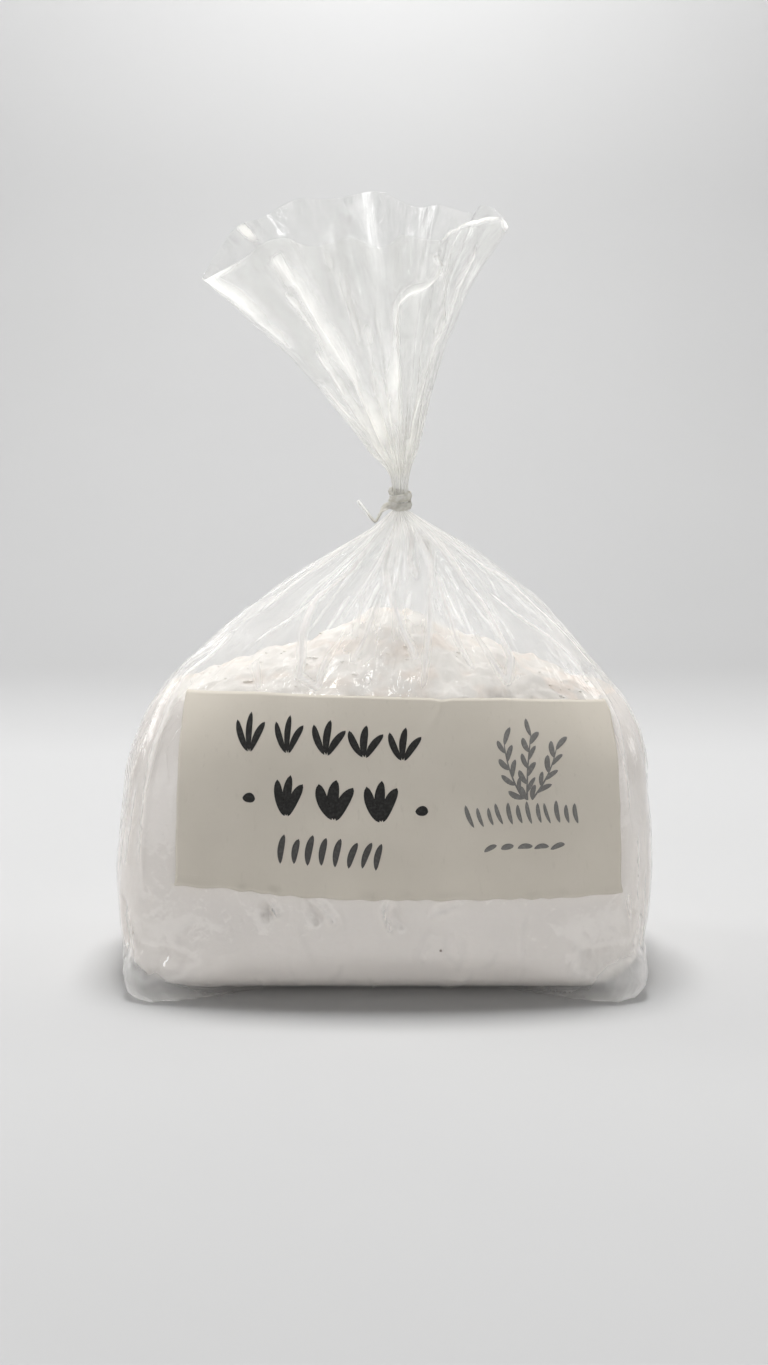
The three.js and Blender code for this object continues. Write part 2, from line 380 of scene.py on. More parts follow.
@dataclass(frozen=True)
class FilmFinish:
    """Clear film: see-through, with a thin white haze and gloss that grows towards the edges."""

    name: str = "clear_film"
    clear_colour: Colour = (0.985, 0.985, 0.98, 1.0)
    haze_colour: Colour = (0.98, 0.98, 0.975, 1.0)
    layered_colour: Colour = (0.66, 0.65, 0.615, 1.0)  # where many layers of film lie together
    reflectance: float = 0.08  # of both faces, seen straight on
    roughness: float = 0.10
    crinkle_mm: float = 0.22  # depth of the fine creases
    streaks_per_metre: float = 260.0
    layered_streaks: float = 0.05  # share of the streaks' depth that layered film keeps
    layered_roughness: float = 1.3  # how much rougher layered film is, as a share of the roughness
    edge_haze: float = 1.6  # how much more haze shows where the film turns away
    glow_share: float = 0.6  # of the haze's light that comes through from behind

    def build(self) -> Material:
        """Builds the node material; it reads the vertex fields film_place, film_haze and film_layers.

        Returns:
            The material.
        """
        material, tree, output = new_material(self.name)
        place = attribute(tree, "film_place", "Vector")
        streaks = noise_node(tree, place, self.streaks_per_metre, 3.0, (1.0, 1.0, 0.16))
        crumple = noise_node(tree, place, 150.0, 4.0, (1.0, 1.0, 0.55))
        crease = maths(tree, "ABSOLUTE", maths(tree, "SUBTRACT", crumple, 0.5))
        crease = maths(tree, "POWER", remap(tree, crease, (0.0, 0.16), (1.0, 0.0)), 2.5)
        fine = noise_node(tree, place, 1400.0, 2.0)
        layers = attribute(tree, "film_layers")
        kept = remap(tree, layers, (0.0, 1.0), (1.0, self.layered_streaks))
        streaks = maths(tree, "MULTIPLY", streaks, kept)
        normal = bump(tree, streaks, 0.3, 2.0 * self.crinkle_mm)
        normal = bump(tree, crease, 0.5, self.crinkle_mm, normal)
        normal = bump(tree, fine, 0.12, 0.05, normal)
        rough = remap(tree, noise_node(tree, place, 90.0, 3.0), (0.3, 0.7),
                      (0.6 * self.roughness, 1.6 * self.roughness))
        rougher = maths(tree, "MULTIPLY", layers, self.layered_roughness * self.roughness)
        rough = maths(tree, "ADD", rough, rougher)
        facing = add_node(tree, "ShaderNodeLayerWeight", {"Blend": 0.5, "Normal": normal}).outputs["Facing"]
        rise = maths(tree, "MULTIPLY", maths(tree, "POWER", facing, 5.0), 1.0 - self.reflectance)
        gloss_share = maths(tree, "ADD", rise, self.reflectance, clamp=True)
        clear = add_node(tree, "ShaderNodeBsdfTransparent", {"Color": self.clear_colour})
        gloss = add_node(tree, "ShaderNodeBsdfGlossy",
                         {"Color": (1.0, 1.0, 1.0, 1.0), "Roughness": rough, "Normal": normal})
        sheet = mix_shader(tree, gloss_share, clear, gloss)
        cloud = remap(tree, noise_node(tree, place, 55.0, 4.0), (0.3, 0.7), (0.6, 1.35))
        edge = maths(tree, "MULTIPLY", maths(tree, "POWER", facing, 2.0), self.edge_haze)
        # The haze field holds the film's own haze together with painted highlights along folds and the rim,
        # and painted lightening of the tent's front.
        haze = maths(tree, "MULTIPLY", attribute(tree, "film_haze"), cloud)
        haze = maths(tree, "MULTIPLY", haze, maths(tree, "ADD", edge, 1.0), clamp=True)
        white = blend_colour(tree, layers, self.haze_colour, self.layered_colour)
        lit = add_node(tree, "ShaderNodeBsdfDiffuse", {"Color": white, "Normal": normal})
        glow = add_node(tree, "ShaderNodeBsdfTranslucent", {"Color": white, "Normal": normal})
        film = mix_shader(tree, haze, sheet, mix_shader(tree, self.glow_share, lit, glow))
        tree.links.new(film.outputs[0], output.inputs["Surface"])
        return material


@dataclass(frozen=True)
class FlourFinish:
    """Fine rice flour: matt and white, warmer and a little darker where it is pressed to the film."""

    name: str = "rice_flour"
    loose: Colour = (0.93, 0.895, 0.85, 1.0)
    pressed: Colour = (0.93, 0.875, 0.83, 1.0)
    shade: Colour = (0.87, 0.82, 0.78, 1.0)
    painted_heap_shade: Colour = (0.72, 0.685, 0.645, 1.0)  # painted shade on the heap's sides, away from its hump
    touched: Colour = (0.84, 0.735, 0.655, 1.0)  # where loose flour sticks to the film
    speck: Colour = (0.16, 0.11, 0.08, 1.0)  # a flake of bran here and there
    specks_per_metre: float = 80.0
    lump_depth: float = 0.35  # of the fine lumps in the powder

    def build(self) -> Material:
        """Builds the node material; it reads the vertex fields contact and heaped, and a field of painted
        shade for the heap's sides.

        Returns:
            The material.
        """
        material, tree, output = new_material(self.name)
        place = object_place(tree)
        blotch = remap(tree, noise_node(tree, place, 70.0, 4.0), (0.4, 0.68), (0.0, 1.0))
        colour = blend_colour(tree, attribute(tree, "contact"), self.loose, self.pressed)
        colour = blend_colour(tree, maths(tree, "MULTIPLY", blotch, 0.35), colour, self.shade)
        # Painted shade over the heap's sides.
        colour = blend_colour(tree, attribute(tree, "low_heap"), colour, self.painted_heap_shade)
        damp = remap(tree, noise_node(tree, place, 110.0, 3.0), (0.5, 0.64), (0.0, 0.7))
        damp = maths(tree, "MULTIPLY", damp, attribute(tree, "heaped"))
        colour = blend_colour(tree, damp, colour, self.touched)
        cells = add_node(tree, "ShaderNodeTexVoronoi", {"Vector": place, "Scale": self.specks_per_metre})
        pressed = maths(tree, "SUBTRACT", attribute(tree, "contact"), attribute(tree, "heaped"), clamp=True)
        near = remap(tree, cells.outputs["Distance"], (0.024, 0.032), (0.9, 0.0))
        specks = maths(tree, "MULTIPLY", near, pressed)
        colour = blend_colour(tree, specks, colour, self.speck)
        powder = noise_node(tree, place, 2600.0, 3.0)
        clods = noise_node(tree, place, 600.0, 4.0)
        normal = bump(tree, clods, 0.5, self.lump_depth)
        normal = bump(tree, powder, 0.35, 0.08, normal)
        rough = remap(tree, powder, (0.3, 0.7), (0.8, 0.98))
        plain_surface(tree, output, {"Base Color": colour, "Roughness": rough, "Normal": normal,
                                     "Specular IOR Level": 0.15, "Sheen Weight": 0.15})
        return material


@dataclass(frozen=True)
class PaperFinish:
    """Uncoated label paper of a warm grey, with fibres and faint mottling."""

    name: str = "label_paper"
    colour: Colour = (0.665, 0.615, 0.535, 1.0)
    fibre: Colour = (0.575, 0.53, 0.455, 1.0)

    def build(self) -> Material:
        """Builds the node material.

        Returns:
            The material.
        """
        material, tree, output = new_material(self.name)
        place = object_place(tree)
        mottle = remap(tree, noise_node(tree, place, 45.0, 5.0), (0.35, 0.7), (0.0, 0.5))
        fibres = noise_node(tree, place, 900.0, 4.0, (1.0, 1.0, 0.3))
        threads = remap(tree, fibres, (0.62, 0.75), (0.0, 0.5))
        colour = blend_colour(tree, mottle, self.colour, self.fibre)
        colour = blend_colour(tree, threads, colour, self.fibre)
        grain = noise_node(tree, place, 2200.0, 3.0)
        normal = bump(tree, grain, 0.3, 0.06)
        normal = bump(tree, fibres, 0.25, 0.08, normal)
        rough = remap(tree, grain, (0.3, 0.7), (0.62, 0.85))
        plain_surface(tree, output, {"Base Color": colour, "Roughness": rough, "Normal": normal,
                                     "Specular IOR Level": 0.3})
        return material


@dataclass(frozen=True)
class InkFinish:
    """Printed ink with slightly uneven cover."""

    name: str
    colour: Colour
    wear_and_shade: Colour

    def build(self) -> Material:
        """Builds the node material.

        Returns:
            The material.
        """
        material, tree, output = new_material(self.name)
        place = object_place(tree)
        cover = remap(tree, noise_node(tree, place, 1500.0, 4.0), (0.45, 0.75), (0.0, 0.8))
        colour = blend_colour(tree, cover, self.colour, self.wear_and_shade)
        normal = bump(tree, noise_node(tree, place, 2400.0, 3.0), 0.25, 0.05)
        rough = remap(tree, cover, (0.0, 0.8), (0.5, 0.75))
        plain_surface(tree, output, {"Base Color": colour, "Roughness": rough, "Normal": normal,
                                     "Specular IOR Level": 0.12})
        return material


@dataclass(frozen=True)
class TieFinish:
    """Whitish plastic over the wire of a twist tie, with painted grey shade on the coil and the tail near the
    neck.
    """

    name: str = "tie_plastic"
    colour: Colour = (0.88, 0.87, 0.84, 1.0)
    # Painted shade of the film over the coil and the tail near the neck.
    painted_shade: Colour = (0.46, 0.44, 0.38, 1.0)

    def build(self) -> Material:
        """Builds the node material; it reads a vertex field of painted shade.

        Returns:
            The material.
        """
        material, tree, output = new_material(self.name)
        place = object_place(tree)
        streak = noise_node(tree, place, 700.0, 4.0)
        # Painted shade, broken into streaks, over the coil and near the neck.
        shade_streaks = remap(tree, streak, (0.3, 0.65), (0.45, 1.0))
        wear_and_shade = maths(tree, "MULTIPLY", shade_streaks, attribute(tree, "scuff"))
        colour = blend_colour(tree, wear_and_shade, self.colour, self.painted_shade)
        normal = bump(tree, streak, 0.4, 0.12)
        rough = remap(tree, streak, (0.3, 0.7), (0.3, 0.55))
        plain_surface(tree, output, {"Base Color": colour, "Roughness": rough, "Normal": normal})
        return material


# ---- The form that film, flour and label share ----
@dataclass(frozen=True)
class Station:
    """One cross-section of the filled bag: height, half width and depth, squareness, sideways shift."""

    height: float
    width: float
    depth: float
    power: float
    shift: float


@dataclass(frozen=True)
class Fold:
    """A sharp fold in the film along a route of places on it, with a painted highlight along it.

    A place is a turn round the bag, 0 at the front and 0.25 at the right, and a height or a film
    length in millimetres.
    """

    route: tuple[Pair, ...]
    rise: float = 0.6
    width: float = 0.5
    shine: float = 0.3  # strength of the painted highlight along the fold, added as white haze

    def mark(self, turn: Field, along: Field, girth: Field) -> tuple[Field, Field]:
        """How far the fold lifts the film and how strong its painted highlight is at each point.

        Args:
            turn: Turn of each point.
            along: Height or film length of each point.
            girth: Length once round the film at each point.
        Returns:
            The rise in millimetres, and the painted highlight from 0 to 1.
        """
        nearest = np.full(turn.shape, np.inf)
        share = np.zeros(turn.shape)
        legs = len(self.route) - 1
        for leg, ((turn_a, along_a), (turn_b, along_b)) in enumerate(zip(self.route, self.route[1:])):
            across = turn_gap(turn, turn_a) * girth
            up = along - along_a
            run_across = float(turn_gap(turn_b, turn_a)) * girth
            run_up = along_b - along_a
            step = np.clip((across * run_across + up * run_up) / (run_across**2 + run_up**2), 0.0, 1.0)
            away = np.hypot(across - step * run_across, up - step * run_up)
            closer = away < nearest
            nearest = np.where(closer, away, nearest)
            share = np.where(closer, (leg + step) / legs, share)
        fade = smoothstep(share, -0.02, 0.14) * (1.0 - smoothstep(share, 0.8, 1.02))
        lifted = self.rise * fade * np.exp(-nearest / self.width)
        # The second value is a painted highlight along the fold.
        return lifted, self.shine * fade * np.exp(-((nearest / self.width) ** 2))


def all_marks(folds: list[Fold], turn: Field, along: Field, girth: Field) -> tuple[Field, Field]:
    """The rise and the painted highlights of many folds together.

    Args:
        folds: The folds.
        turn: Turn of each point.
        along: Height or film length of each point.
        girth: Length once round the film at each point.
    Returns:
        The rise and the painted highlights.
    """
    rise, white = np.zeros(turn.shape), np.zeros(turn.shape)
    for fold in folds:
        lifted, whitened = fold.mark(turn, along, girth)
        rise += lifted
        white = np.maximum(white, whitened)
    return rise, white


@dataclass(frozen=True)
class Lip:
    """A place on the rim of the mouth: its turn, and how the film runs up to it from the tie."""

    turn: float
    right: float  # degrees that the film leans to the right
    back: float  # degrees that it leans back
    length: float  # millimetres from the tie
    slack: float = 0.0  # degrees that it leans less half way up


@dataclass(frozen=True)
class BagForm:
    """The bag's shape below and above the tie, in millimetres."""

    stations: tuple[Station, ...] = (
        Station(0.0, 0.80, 0.68, 8.0, 0.3),  # sole
        Station(3.0, 0.865, 0.875, 7.0, 0.0),  # foot
        Station(8.0, 0.945, 0.97, 5.2, -0.5),  # heel
        Station(22.0, 0.995, 1.0, 3.6, -0.4),  # belly
        Station(44.0, 0.978, 0.975, 3.2, 0.2),  # waist
        Station(62.0, 0.938, 0.905, 2.85, 0.8),  # chest
        Station(76.0, 0.835, 0.79, 2.5, 0.6),  # shoulder
        Station(86.0, 0.71, 0.665, 2.35, 2.2),  # eaves
        Station(98.0, 0.52, 0.47, 2.2, 4.0),  # tent
        Station(110.0, 0.287, 0.27, 2.05, 5.4),  # gather
        Station(118.0, 0.115, 0.15, 2.0, 5.2),  # collar
        Station(122.8, 2.1 / 72.2, 2.1 / 43.0, 2.0, 4.0),  # throat, as wide as the neck
    )
    half_width: float = 72.2
    half_depth: float = 43.0
    shoulder: float = 76.0  # height at which the loose film starts
    girth: float = 400.0  # of the flat bag that the film comes from
    neck_x: float = 4.0
    neck_radius: float = 2.1
    tie_low: float = 122.8
    tie_high: float = 129.2
    centring: Pair = (0.320, 0.387)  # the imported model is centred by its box
    ear_corner: Pair = (60.0, 36.0)
    ear_reach: float = 7.2
    ear_top: float = 14.0
    ear_spread: float = 0.14
    flare_run: float = 11.0  # film length over which the neck opens
    ruffles: int = 9
    ruffle_depth: float = 3.2
    # The rim from the right round the back to the left and along the front, as the photo has it.
    lips: tuple[Lip, ...] = (
        Lip(0.25, 20.0, 1.0, 73.0, 4.0),
        Lip(0.29, 18.0, 5.0, 76.0, 4.0),
        Lip(0.34, 13.0, 10.0, 76.5, 2.0),
        Lip(0.40, 6.5, 14.0, 76.5, 1.0),
        Lip(0.46, -0.5, 17.0, 79.0),
        Lip(0.52, -8.0, 17.5, 83.0),
        Lip(0.58, -16.0, 17.0, 83.5),
        Lip(0.64, -24.0, 14.5, 82.5),
        Lip(0.69, -30.5, 10.0, 81.0),
        Lip(0.73, -36.5, 5.0, 77.5),
        Lip(0.765, -40.5, -1.0, 74.0, 0.5),
        Lip(0.81, -33.5, -13.0, 72.5),
        Lip(0.87, -25.0, -20.0, 73.5),
        Lip(0.93, -14.5, -23.5, 71.0),
        Lip(0.99, -4.5, -25.0, 69.5),
        Lip(0.05, 3.5, -23.0, 69.0),
        Lip(0.11, 9.5, -17.5, 69.0, 2.0),
        Lip(0.16, 13.5, -13.0, 72.0, 3.0),
        Lip(0.21, 18.0, -6.0, 74.0, 4.0),
    )
    neck_pleats: int = 17
    neck_pleat_depth: float = 0.9
    tent_pleats: int = 13
    tent_pleat_depth: float = 1.2

    def profile(self, heights: np.ndarray) -> np.ndarray:
        """Half width, half depth, squareness and shift at each height, smoothly between stations.

        Args:
            heights: The heights.
        Returns:
            A row of four values for each height.
        """
        knots = np.array([s.height for s in self.stations])
        values = np.array([[s.width * self.half_width, s.depth * self.half_depth, s.power, s.shift]
                           for s in self.stations])
        slopes = np.diff(values, axis=0) / np.diff(knots)[:, None]
        tangents = np.vstack([slopes[:1], (slopes[:-1] + slopes[1:]) / 2, slopes[-1:]])
        index = np.clip(np.searchsorted(knots, heights, side="right") - 1, 0, len(knots) - 2)
        run = (knots[index + 1] - knots[index])[:, None]
        t = (heights - knots[index])[:, None] / run
        return ease_between(values, index, t, run * tangents[index], run * tangents[index + 1])

    def sections(self, heights: np.ndarray, samples: int = 720) -> tuple[Grid, np.ndarray]:
        """Finely sampled outlines and the arc length from the front at each of their points.

        Args:
            heights: Height of each outline.
            samples: Points of each outline.
        Returns:
            The outlines and the arc lengths.
        """
        half_width, half_depth, power, shift = (column[:, None] for column in self.profile(heights).T)
        angle = np.linspace(0.0, 2 * np.pi, samples + 1)
        x, y = np.sin(angle), -np.cos(angle)
        radius = ((np.abs(x) / half_width) ** power + (np.abs(y) / half_depth) ** power) ** (-1 / power)
        level = np.broadcast_to(heights[:, None], radius.shape)
        ring = np.stack([x * radius + shift, y * radius, level], axis=2)
        steps = np.linalg.norm(np.diff(ring, axis=1), axis=2)
        arc = np.concatenate([np.zeros((len(heights), 1)), np.cumsum(steps, axis=1)], axis=1)
        ring[..., :2] += self.centring
        return ring, arc

    def rings(self, heights: np.ndarray, columns: int) -> Grid:
        """Rings of the plain body, each with its points at equal distances from the front round.

        Args:
            heights: Height of each ring.
            columns: Points of each ring.
        Returns:
            The rings.
        """
        fine, arc = self.sections(heights)
        made = np.empty((len(heights), columns, 3))
        for row, (ring, length) in enumerate(zip(fine, arc)):
            at = np.arange(columns) / columns * length[-1]
            for axis in range(3):
                made[row, :, axis] = np.interp(at, length, ring[:, axis])
        return made

    def front(self, arcs: np.ndarray, heights: np.ndarray, centre_x: float) -> Grid:
        """Points on the plain body, by arc length round it from centre_x on the front, and height.

        Args:
            arcs: Arc length of each column.
            heights: Height of each row.
            centre_x: Where the arc length is 0.
        Returns:
            A grid of points.
        """
        fine, arc = self.sections(heights)
        shift = self.profile(heights)[:, 3]
        made = np.empty((len(heights), len(arcs), 3))
        for row, (ring, length) in enumerate(zip(fine, arc)):
            at = (arcs + centre_x - shift[row]) % length[-1]
            for axis in range(3):
                made[row, :, axis] = np.interp(at, length, ring[:, axis])
        return made

    def pleats(self, turn: Field, count: int) -> Field:
        """A wave of uneven pleats round the bag, from -1 to 1.

        Args:
            turn: Turn of each point.
            count: Number of pleats.
        Returns:
            The wave at each point.
        """
        wander = 0.11 * np.sin(4 * np.pi * turn + 0.6) + 0.07 * np.sin(6 * np.pi * turn)
        main = np.cos(2 * np.pi * (count * turn + wander * count / 4))
        return 0.7 * main + 0.3 * np.cos(2 * np.pi * (count - 4) * turn + 1.3)

    def ears(self, grid: Grid) -> Field:
        """How far the empty film corners stand out at the foot of the bag.

        Args:
            grid: Points of the plain form.
        Returns:
            The distance at each point.
        """
        fade = 1 - smoothstep(grid[..., 2], 0.4 * self.ear_top, self.ear_top)
        corner = math.atan2(self.ear_corner[1], self.ear_corner[0])
        angle = np.arctan2(np.abs(grid[..., 1] - self.centring[1]), np.abs(grid[..., 0] - self.centring[0]))
        return self.ear_reach * fade * np.exp(-(((angle - corner) / self.ear_spread) ** 2))

    def tent_folds(self, turn: Field, height: Field) -> Field:
        """The broad pleats of the loose film above the shoulder.

        Args:
            turn: Turn of each point.
            height: Height of each point.
        Returns:
            The rise at each point.
        """
        tent = smoothstep(height, self.shoulder + 3, self.shoulder + 20)
        gathered = 1 - smoothstep(height, self.tie_low - 14, self.tie_low)
        return self.tent_pleat_depth * tent * gathered * self.pleats(turn, self.tent_pleats)

    def rim(self, turn: np.ndarray) -> np.ndarray:
        """Lean to the right, lean back, length and slack of the mouth's film at each turn.

        Args:
            turn: The turns.
        Returns:
            A row of four values for each turn.
        """
        lips = sorted(self.lips, key=lambda lip: lip.turn)
        knots = np.array([lip.turn for lip in lips])
        values = np.array([[lip.right, lip.back, lip.length, lip.slack] for lip in lips])
        knots = np.concatenate([knots[-2:] - 1, knots, knots[:2] + 1])
        values = np.concatenate([values[-2:], values, values[:2]])
        index = np.clip(np.searchsorted(knots, turn, side="right") - 1, 1, len(knots) - 3)
        run = (knots[index + 1] - knots[index])[:, None]
        t = (turn - knots[index])[:, None] / run
        leave = (values[index + 1] - values[index - 1]) / (knots[index + 1] - knots[index - 1])[:, None] * run
        arrive = (values[index + 2] - values[index]) / (knots[index + 2] - knots[index])[:, None] * run
        return ease_between(values, index, t, leave, arrive)

    def flare(self, turn: np.ndarray, share: np.ndarray) -> tuple[Grid, Field]:
        """Points of the flared mouth and their film lengths, by turn and share of the way to the rim.

        Args:
            turn: Turn of each column.
            share: Share of the way of each row.
        Returns:
            The points and the film lengths.
        """
        right, back, reach, slack = (column[None, :] for column in self.rim(turn).T)
        share = share[:, None]
        length = share * reach
        opening = smoothstep(length, -2.0, self.flare_run)
        ease = opening * np.clip(share, 1e-6, 1.0) ** 0.16
        lean_x = np.radians(right * ease - np.sign(right) * slack * 4 * share * (1 - share))
        lean_y = np.radians(back * ease)
        lean = np.maximum(np.hypot(lean_x, lean_y), 1e-9)
        angle = 2 * np.pi * turn[None, :]
        pleats = self.neck_pleat_depth * self.pleats(turn, self.neck_pleats)
        bundle = self.neck_radius + opening * (1 - share) ** 2 * pleats
        points = np.stack([
            self.neck_x + self.centring[0] + bundle * np.sin(angle) + length * np.sin(lean) * lean_x / lean,
            self.centring[1] - bundle * np.cos(angle) + length * np.sin(lean) * lean_y / lean,
            self.tie_high + length * np.cos(lean),
        ], axis=-1)
        return points, length


def film_place(turn: Field, length: Field) -> Grid:
    """Seamless place on the film for its patterns, in metres: round a cylinder of the bag's girth.

    Args:
        turn: Turn of each point.
        length: Height or film length of each point.
    Returns:
        A grid of points.
    """
    radius = BagForm.girth * MM / (2 * np.pi)
    angle = 2 * np.pi * turn
    return np.stack([radius * np.sin(angle), -radius * np.cos(angle), length * MM], axis=-1)


def scattered_folds(seed: int, count: int, turns: Pair, tops: Pair,
                    lengths: Pair, rise: float, width: float, shine: float) -> list[Fold]:
    """Folds at random places, each a little bent.

    Args:
        seed: Seed of the draw.
        count: Number of folds.
        turns: Range of turns round the bag in which they start.
        tops: Range of their upper ends.
        lengths: Range of their lengths.
        rise: Largest rise.
        width: Largest half width.
        shine: Largest painted highlight.
    Returns:
        The folds.
    """
    draw = np.random.default_rng(seed)
    made = []
    for _ in range(count):
        turn, top, length = draw.uniform(*turns), draw.uniform(*tops), draw.uniform(*lengths)
        slant, bend = draw.normal(0.0, 0.012), draw.normal(0.0, 0.006)
        route = ((turn, top), (turn + slant / 2 + bend, top - length / 2), (turn + slant, top - length))
        strength = draw.uniform(0.35, 1.0)
        made.append(Fold(route, rise * strength, width * draw.uniform(0.5, 1.0), shine * strength))
    return made


# ---- Film below the tie ----
@dataclass
class FilmBody:
    """The film round the flour and the pleated tent of loose film above it."""

    form: BagForm
    columns: int = 560
    sole_rows: int = 7
    body_rows: int = 62
    tent_rows: int = 92
    closing: float = 126.0  # height inside the tie at which this film ends
    haze: float = 0.06
    ear_haze: float = 0.45  # more of it in the empty corners at the foot
    loose_haze: float = 0.12  # more of it in the loose film above the flour's side,
    haze_and_front_lightening: Pair = (0.55, 0.7)  # as shares of that: all round, and painted lightening added in front
    gathered_haze: float = 0.3  # more of it where the film is drawn in to the tie
    dust: float = 0.10  # more of it where flour clings to the film
    gathered_layers: float = 0.5  # how layered the film is at the tie
    gather_rise: float = 0.16  # depth of the many small gathers below the tie
    gather_count: int = 31
    ear_crumple: float = 2.2
    crumple: float = 0.12
    label_turns: Triple = (0.004, 0.158, 0.175)  # middle, and edge from full to none
    label_foot: Pair = (24.5, 27.5)  # heights from none to full cover
    label_top: Pair = (78.0, 80.5)  # heights from full cover to none
    plain: Grid = field(init=False)  # the plain form under the film as built,
    soft: Field = field(init=False)  # the film's soft relief,
    sharp: Field = field(init=False)  # its sharp relief,
    normal: Grid = field(init=False)  # and the way out from the plain form
    # Folds of the tent that show at the front, from the left round to the right, as the photo has them.
    # The last number of each fold is its painted highlight.
    tent_lines: tuple[Fold, ...] = (
        Fold(((0.768, 118), (0.79, 108), (0.80, 95)), 0.16, 0.57, 0.72),
        Fold(((0.86, 112), (0.866, 100.5), (0.842, 93.5), (0.835, 90)), 0.18, 0.57, 0.72),
        Fold(((0.874, 115), (0.885, 108), (0.869, 100), (0.888, 93), (0.9075, 86.7), (0.914, 83),
              (0.9375, 80), (0.932, 86), (0.933, 90)), 0.23, 0.63, 1.00),
        Fold(((0.9625, 102), (0.963, 93.4), (0.9575, 86)), 0.16, 0.52, 0.57),
        Fold(((0.94, 116), (0.95, 110), (0.983, 101.7), (0.015, 90.6), (0.022, 87)), 0.20, 0.57, 0.94),
        Fold(((0.04, 120), (0.01, 111), (0.029, 106)), 0.18, 0.57, 1.00),
        Fold(((0.08, 117), (0.078, 114), (0.043, 102.7), (0.032, 88), (0.028, 79.5)), 0.23, 0.57, 0.86),
        Fold(((0.135, 117), (0.125, 113.7), (0.116, 106.4), (0.12, 100), (0.118, 93), (0.117, 86.5),
              (0.104, 81), (0.0975, 85.7), (0.088, 94)), 0.23, 0.63, 1.00),
        Fold(((0.07, 108), (0.065, 102.5), (0.0675, 91.4), (0.077, 83.5)), 0.18, 0.52, 0.72),
        Fold(((0.15, 103), (0.163, 97.3), (0.183, 90.4), (0.19, 82)), 0.18, 0.57, 0.72),
        Fold(((0.20, 117), (0.215, 104), (0.222, 92), (0.225, 80)), 0.18, 0.69, 0.79),
        Fold(((0.79, 92), (0.80, 84), (0.808, 78)), 0.18, 0.69, 0.72),
        Fold(((0.86, 86), (0.878, 82), (0.89, 78)), 0.14, 0.57, 0.51),
    )
    # The upright edges between the front and the sides, and pinched film at the lower corners.
    # The last number of each is a painted highlight along the edge.
    edge_lines: tuple[Fold, ...] = (
        Fold(((0.800, 86), (0.8217, 70), (0.8317, 45), (0.841, 20)), 1.1, 1.6, 0.25),
        Fold(((0.205, 84), (0.1733, 60), (0.1642, 35), (0.162, 13)), 1.1, 1.6, 0.25),
        Fold(((0.812, 24), (0.8225, 15.5), (0.832, 5)), -1.6, 1.5, 0.0),
        Fold(((0.823, 22), (0.836, 14), (0.845, 4)), 1.3, 1.0, 0.4),
        Fold(((0.178, 20), (0.166, 13), (0.158, 4)), 1.3, 1.2, 0.4),
    )
    # Small tucks that start under the label's lower edge.
    # The last number of each is a painted highlight along the tuck.
    label_tucks: tuple[Fold, ...] = (
        Fold(((0.917, 29), (0.922, 26), (0.929, 22)), -2.6, 1.1, 0.00),
        Fold(((0.922, 30), (0.928, 26), (0.934, 22)), 2.0, 0.7, 0.35),
        Fold(((0.950, 29), (0.962, 25), (0.972, 20)), 2.0, 0.8, 0.28),
        Fold(((0.944, 29), (0.953, 25), (0.960, 21)), -2.0, 0.9, 0.00),
        Fold(((0.004, 29), (0.000, 24), (0.006, 18)), 2.0, 0.7, 0.28),
        Fold(((0.012, 29), (0.008, 24), (0.013, 19)), -1.4, 0.9, 0.00),
        Fold(((0.056, 28), (0.040, 25), (0.028, 23)), 1.1, 0.7, 0.14),
    )

    def heights(self) -> np.ndarray:
        """Heights of the rings from the sole to the closing.

        Returns:
            The heights.
        """
        low = np.linspace(0.0, self.form.shoulder, self.body_rows, endpoint=False)
        low = self.form.shoulder * (low / self.form.shoulder) ** 1.25
        tent = np.linspace(self.form.shoulder, self.form.tie_low, self.tent_rows)
        return np.concatenate([low, tent])

    def wrinkles(self) -> list[Fold]:
        """Every sharp fold below the tie: the photo's own, and others round the sides and the back.

        Returns:
            The folds.
        """
        tent_top, shoulder = self.form.tie_low - 4, self.form.shoulder
        made = [*self.tent_lines, *self.edge_lines, *self.label_tucks]
        # The last number of each draw is the largest painted highlight.
        made += scattered_folds(3, 26, (0.2, 0.79), (shoulder + 14, tent_top), (14, 34), 0.8, 0.8, 0.3)
        made += scattered_folds(4, 18, (0.0, 1.0), (tent_top - 10, tent_top + 3), (8, 24), 0.22, 0.5, 0.35)
        made += scattered_folds(5, 22, (0.18, 0.35), (30, 88), (18, 46), 0.5, 1.7, 0.2)
        made += scattered_folds(6, 22, (0.65, 0.82), (30, 88), (18, 46), 0.5, 1.7, 0.2)
        made += scattered_folds(7, 22, (0.36, 0.64), (20, 84), (14, 40), 0.55, 1.2, 0.2)
        made += scattered_folds(8, 30, (0.0, 1.0), (6, 13), (4, 10), 0.5, 0.8, 0.1)
        made += scattered_folds(9, 16, (-0.16, 0.16), (13, 23), (5, 12), 0.22, 1.0, 0.06)
        return made

    def soft_relief(self, turn: Field, plain: Grid) -> Field:
        """Slow bulges and hollows that the flour shares with its film.

        Args:
            turn: Turn of each point.
            plain: The plain form.
        Returns:
            The rise at each point.
        """
        height = plain[..., 2]
        off_front = smoothstep(np.abs(turn_gap(turn, 0.0)), 0.13, 0.2)
        sides = off_front * smoothstep(np.abs(turn_gap(turn, 0.5)), 0.05, 0.14)
        upright = np.stack([plain[..., 0], plain[..., 1], 0.3 * height], axis=-1)
        swell = noise_field(upright, 16.0, 2, 1) * (0.35 + 0.9 * sides)
        slow = 0.7 * noise_field(plain, 42.0, 2, 2)
        foot = smoothstep(height, 1.0, 10.0)
        under_label = 1 - 0.75 * self.label_cover(turn, height)
        return (swell + slow) * foot * under_label * (1 - smoothstep(height, 100, 120))

    def label_cover(self, turn: Field, height: Field) -> Field:
        """1 where the label lies over the film, 0 away from it.

        Args:
            turn: Turn of each point.
            height: Height of each point.
        Returns:
            The cover at each point.
        """
        middle, full, none = self.label_turns
        across = 1 - smoothstep(np.abs(turn_gap(turn, middle)), full, none)
        return across * smoothstep(height, *self.label_foot) * (1 - smoothstep(height, *self.label_top))

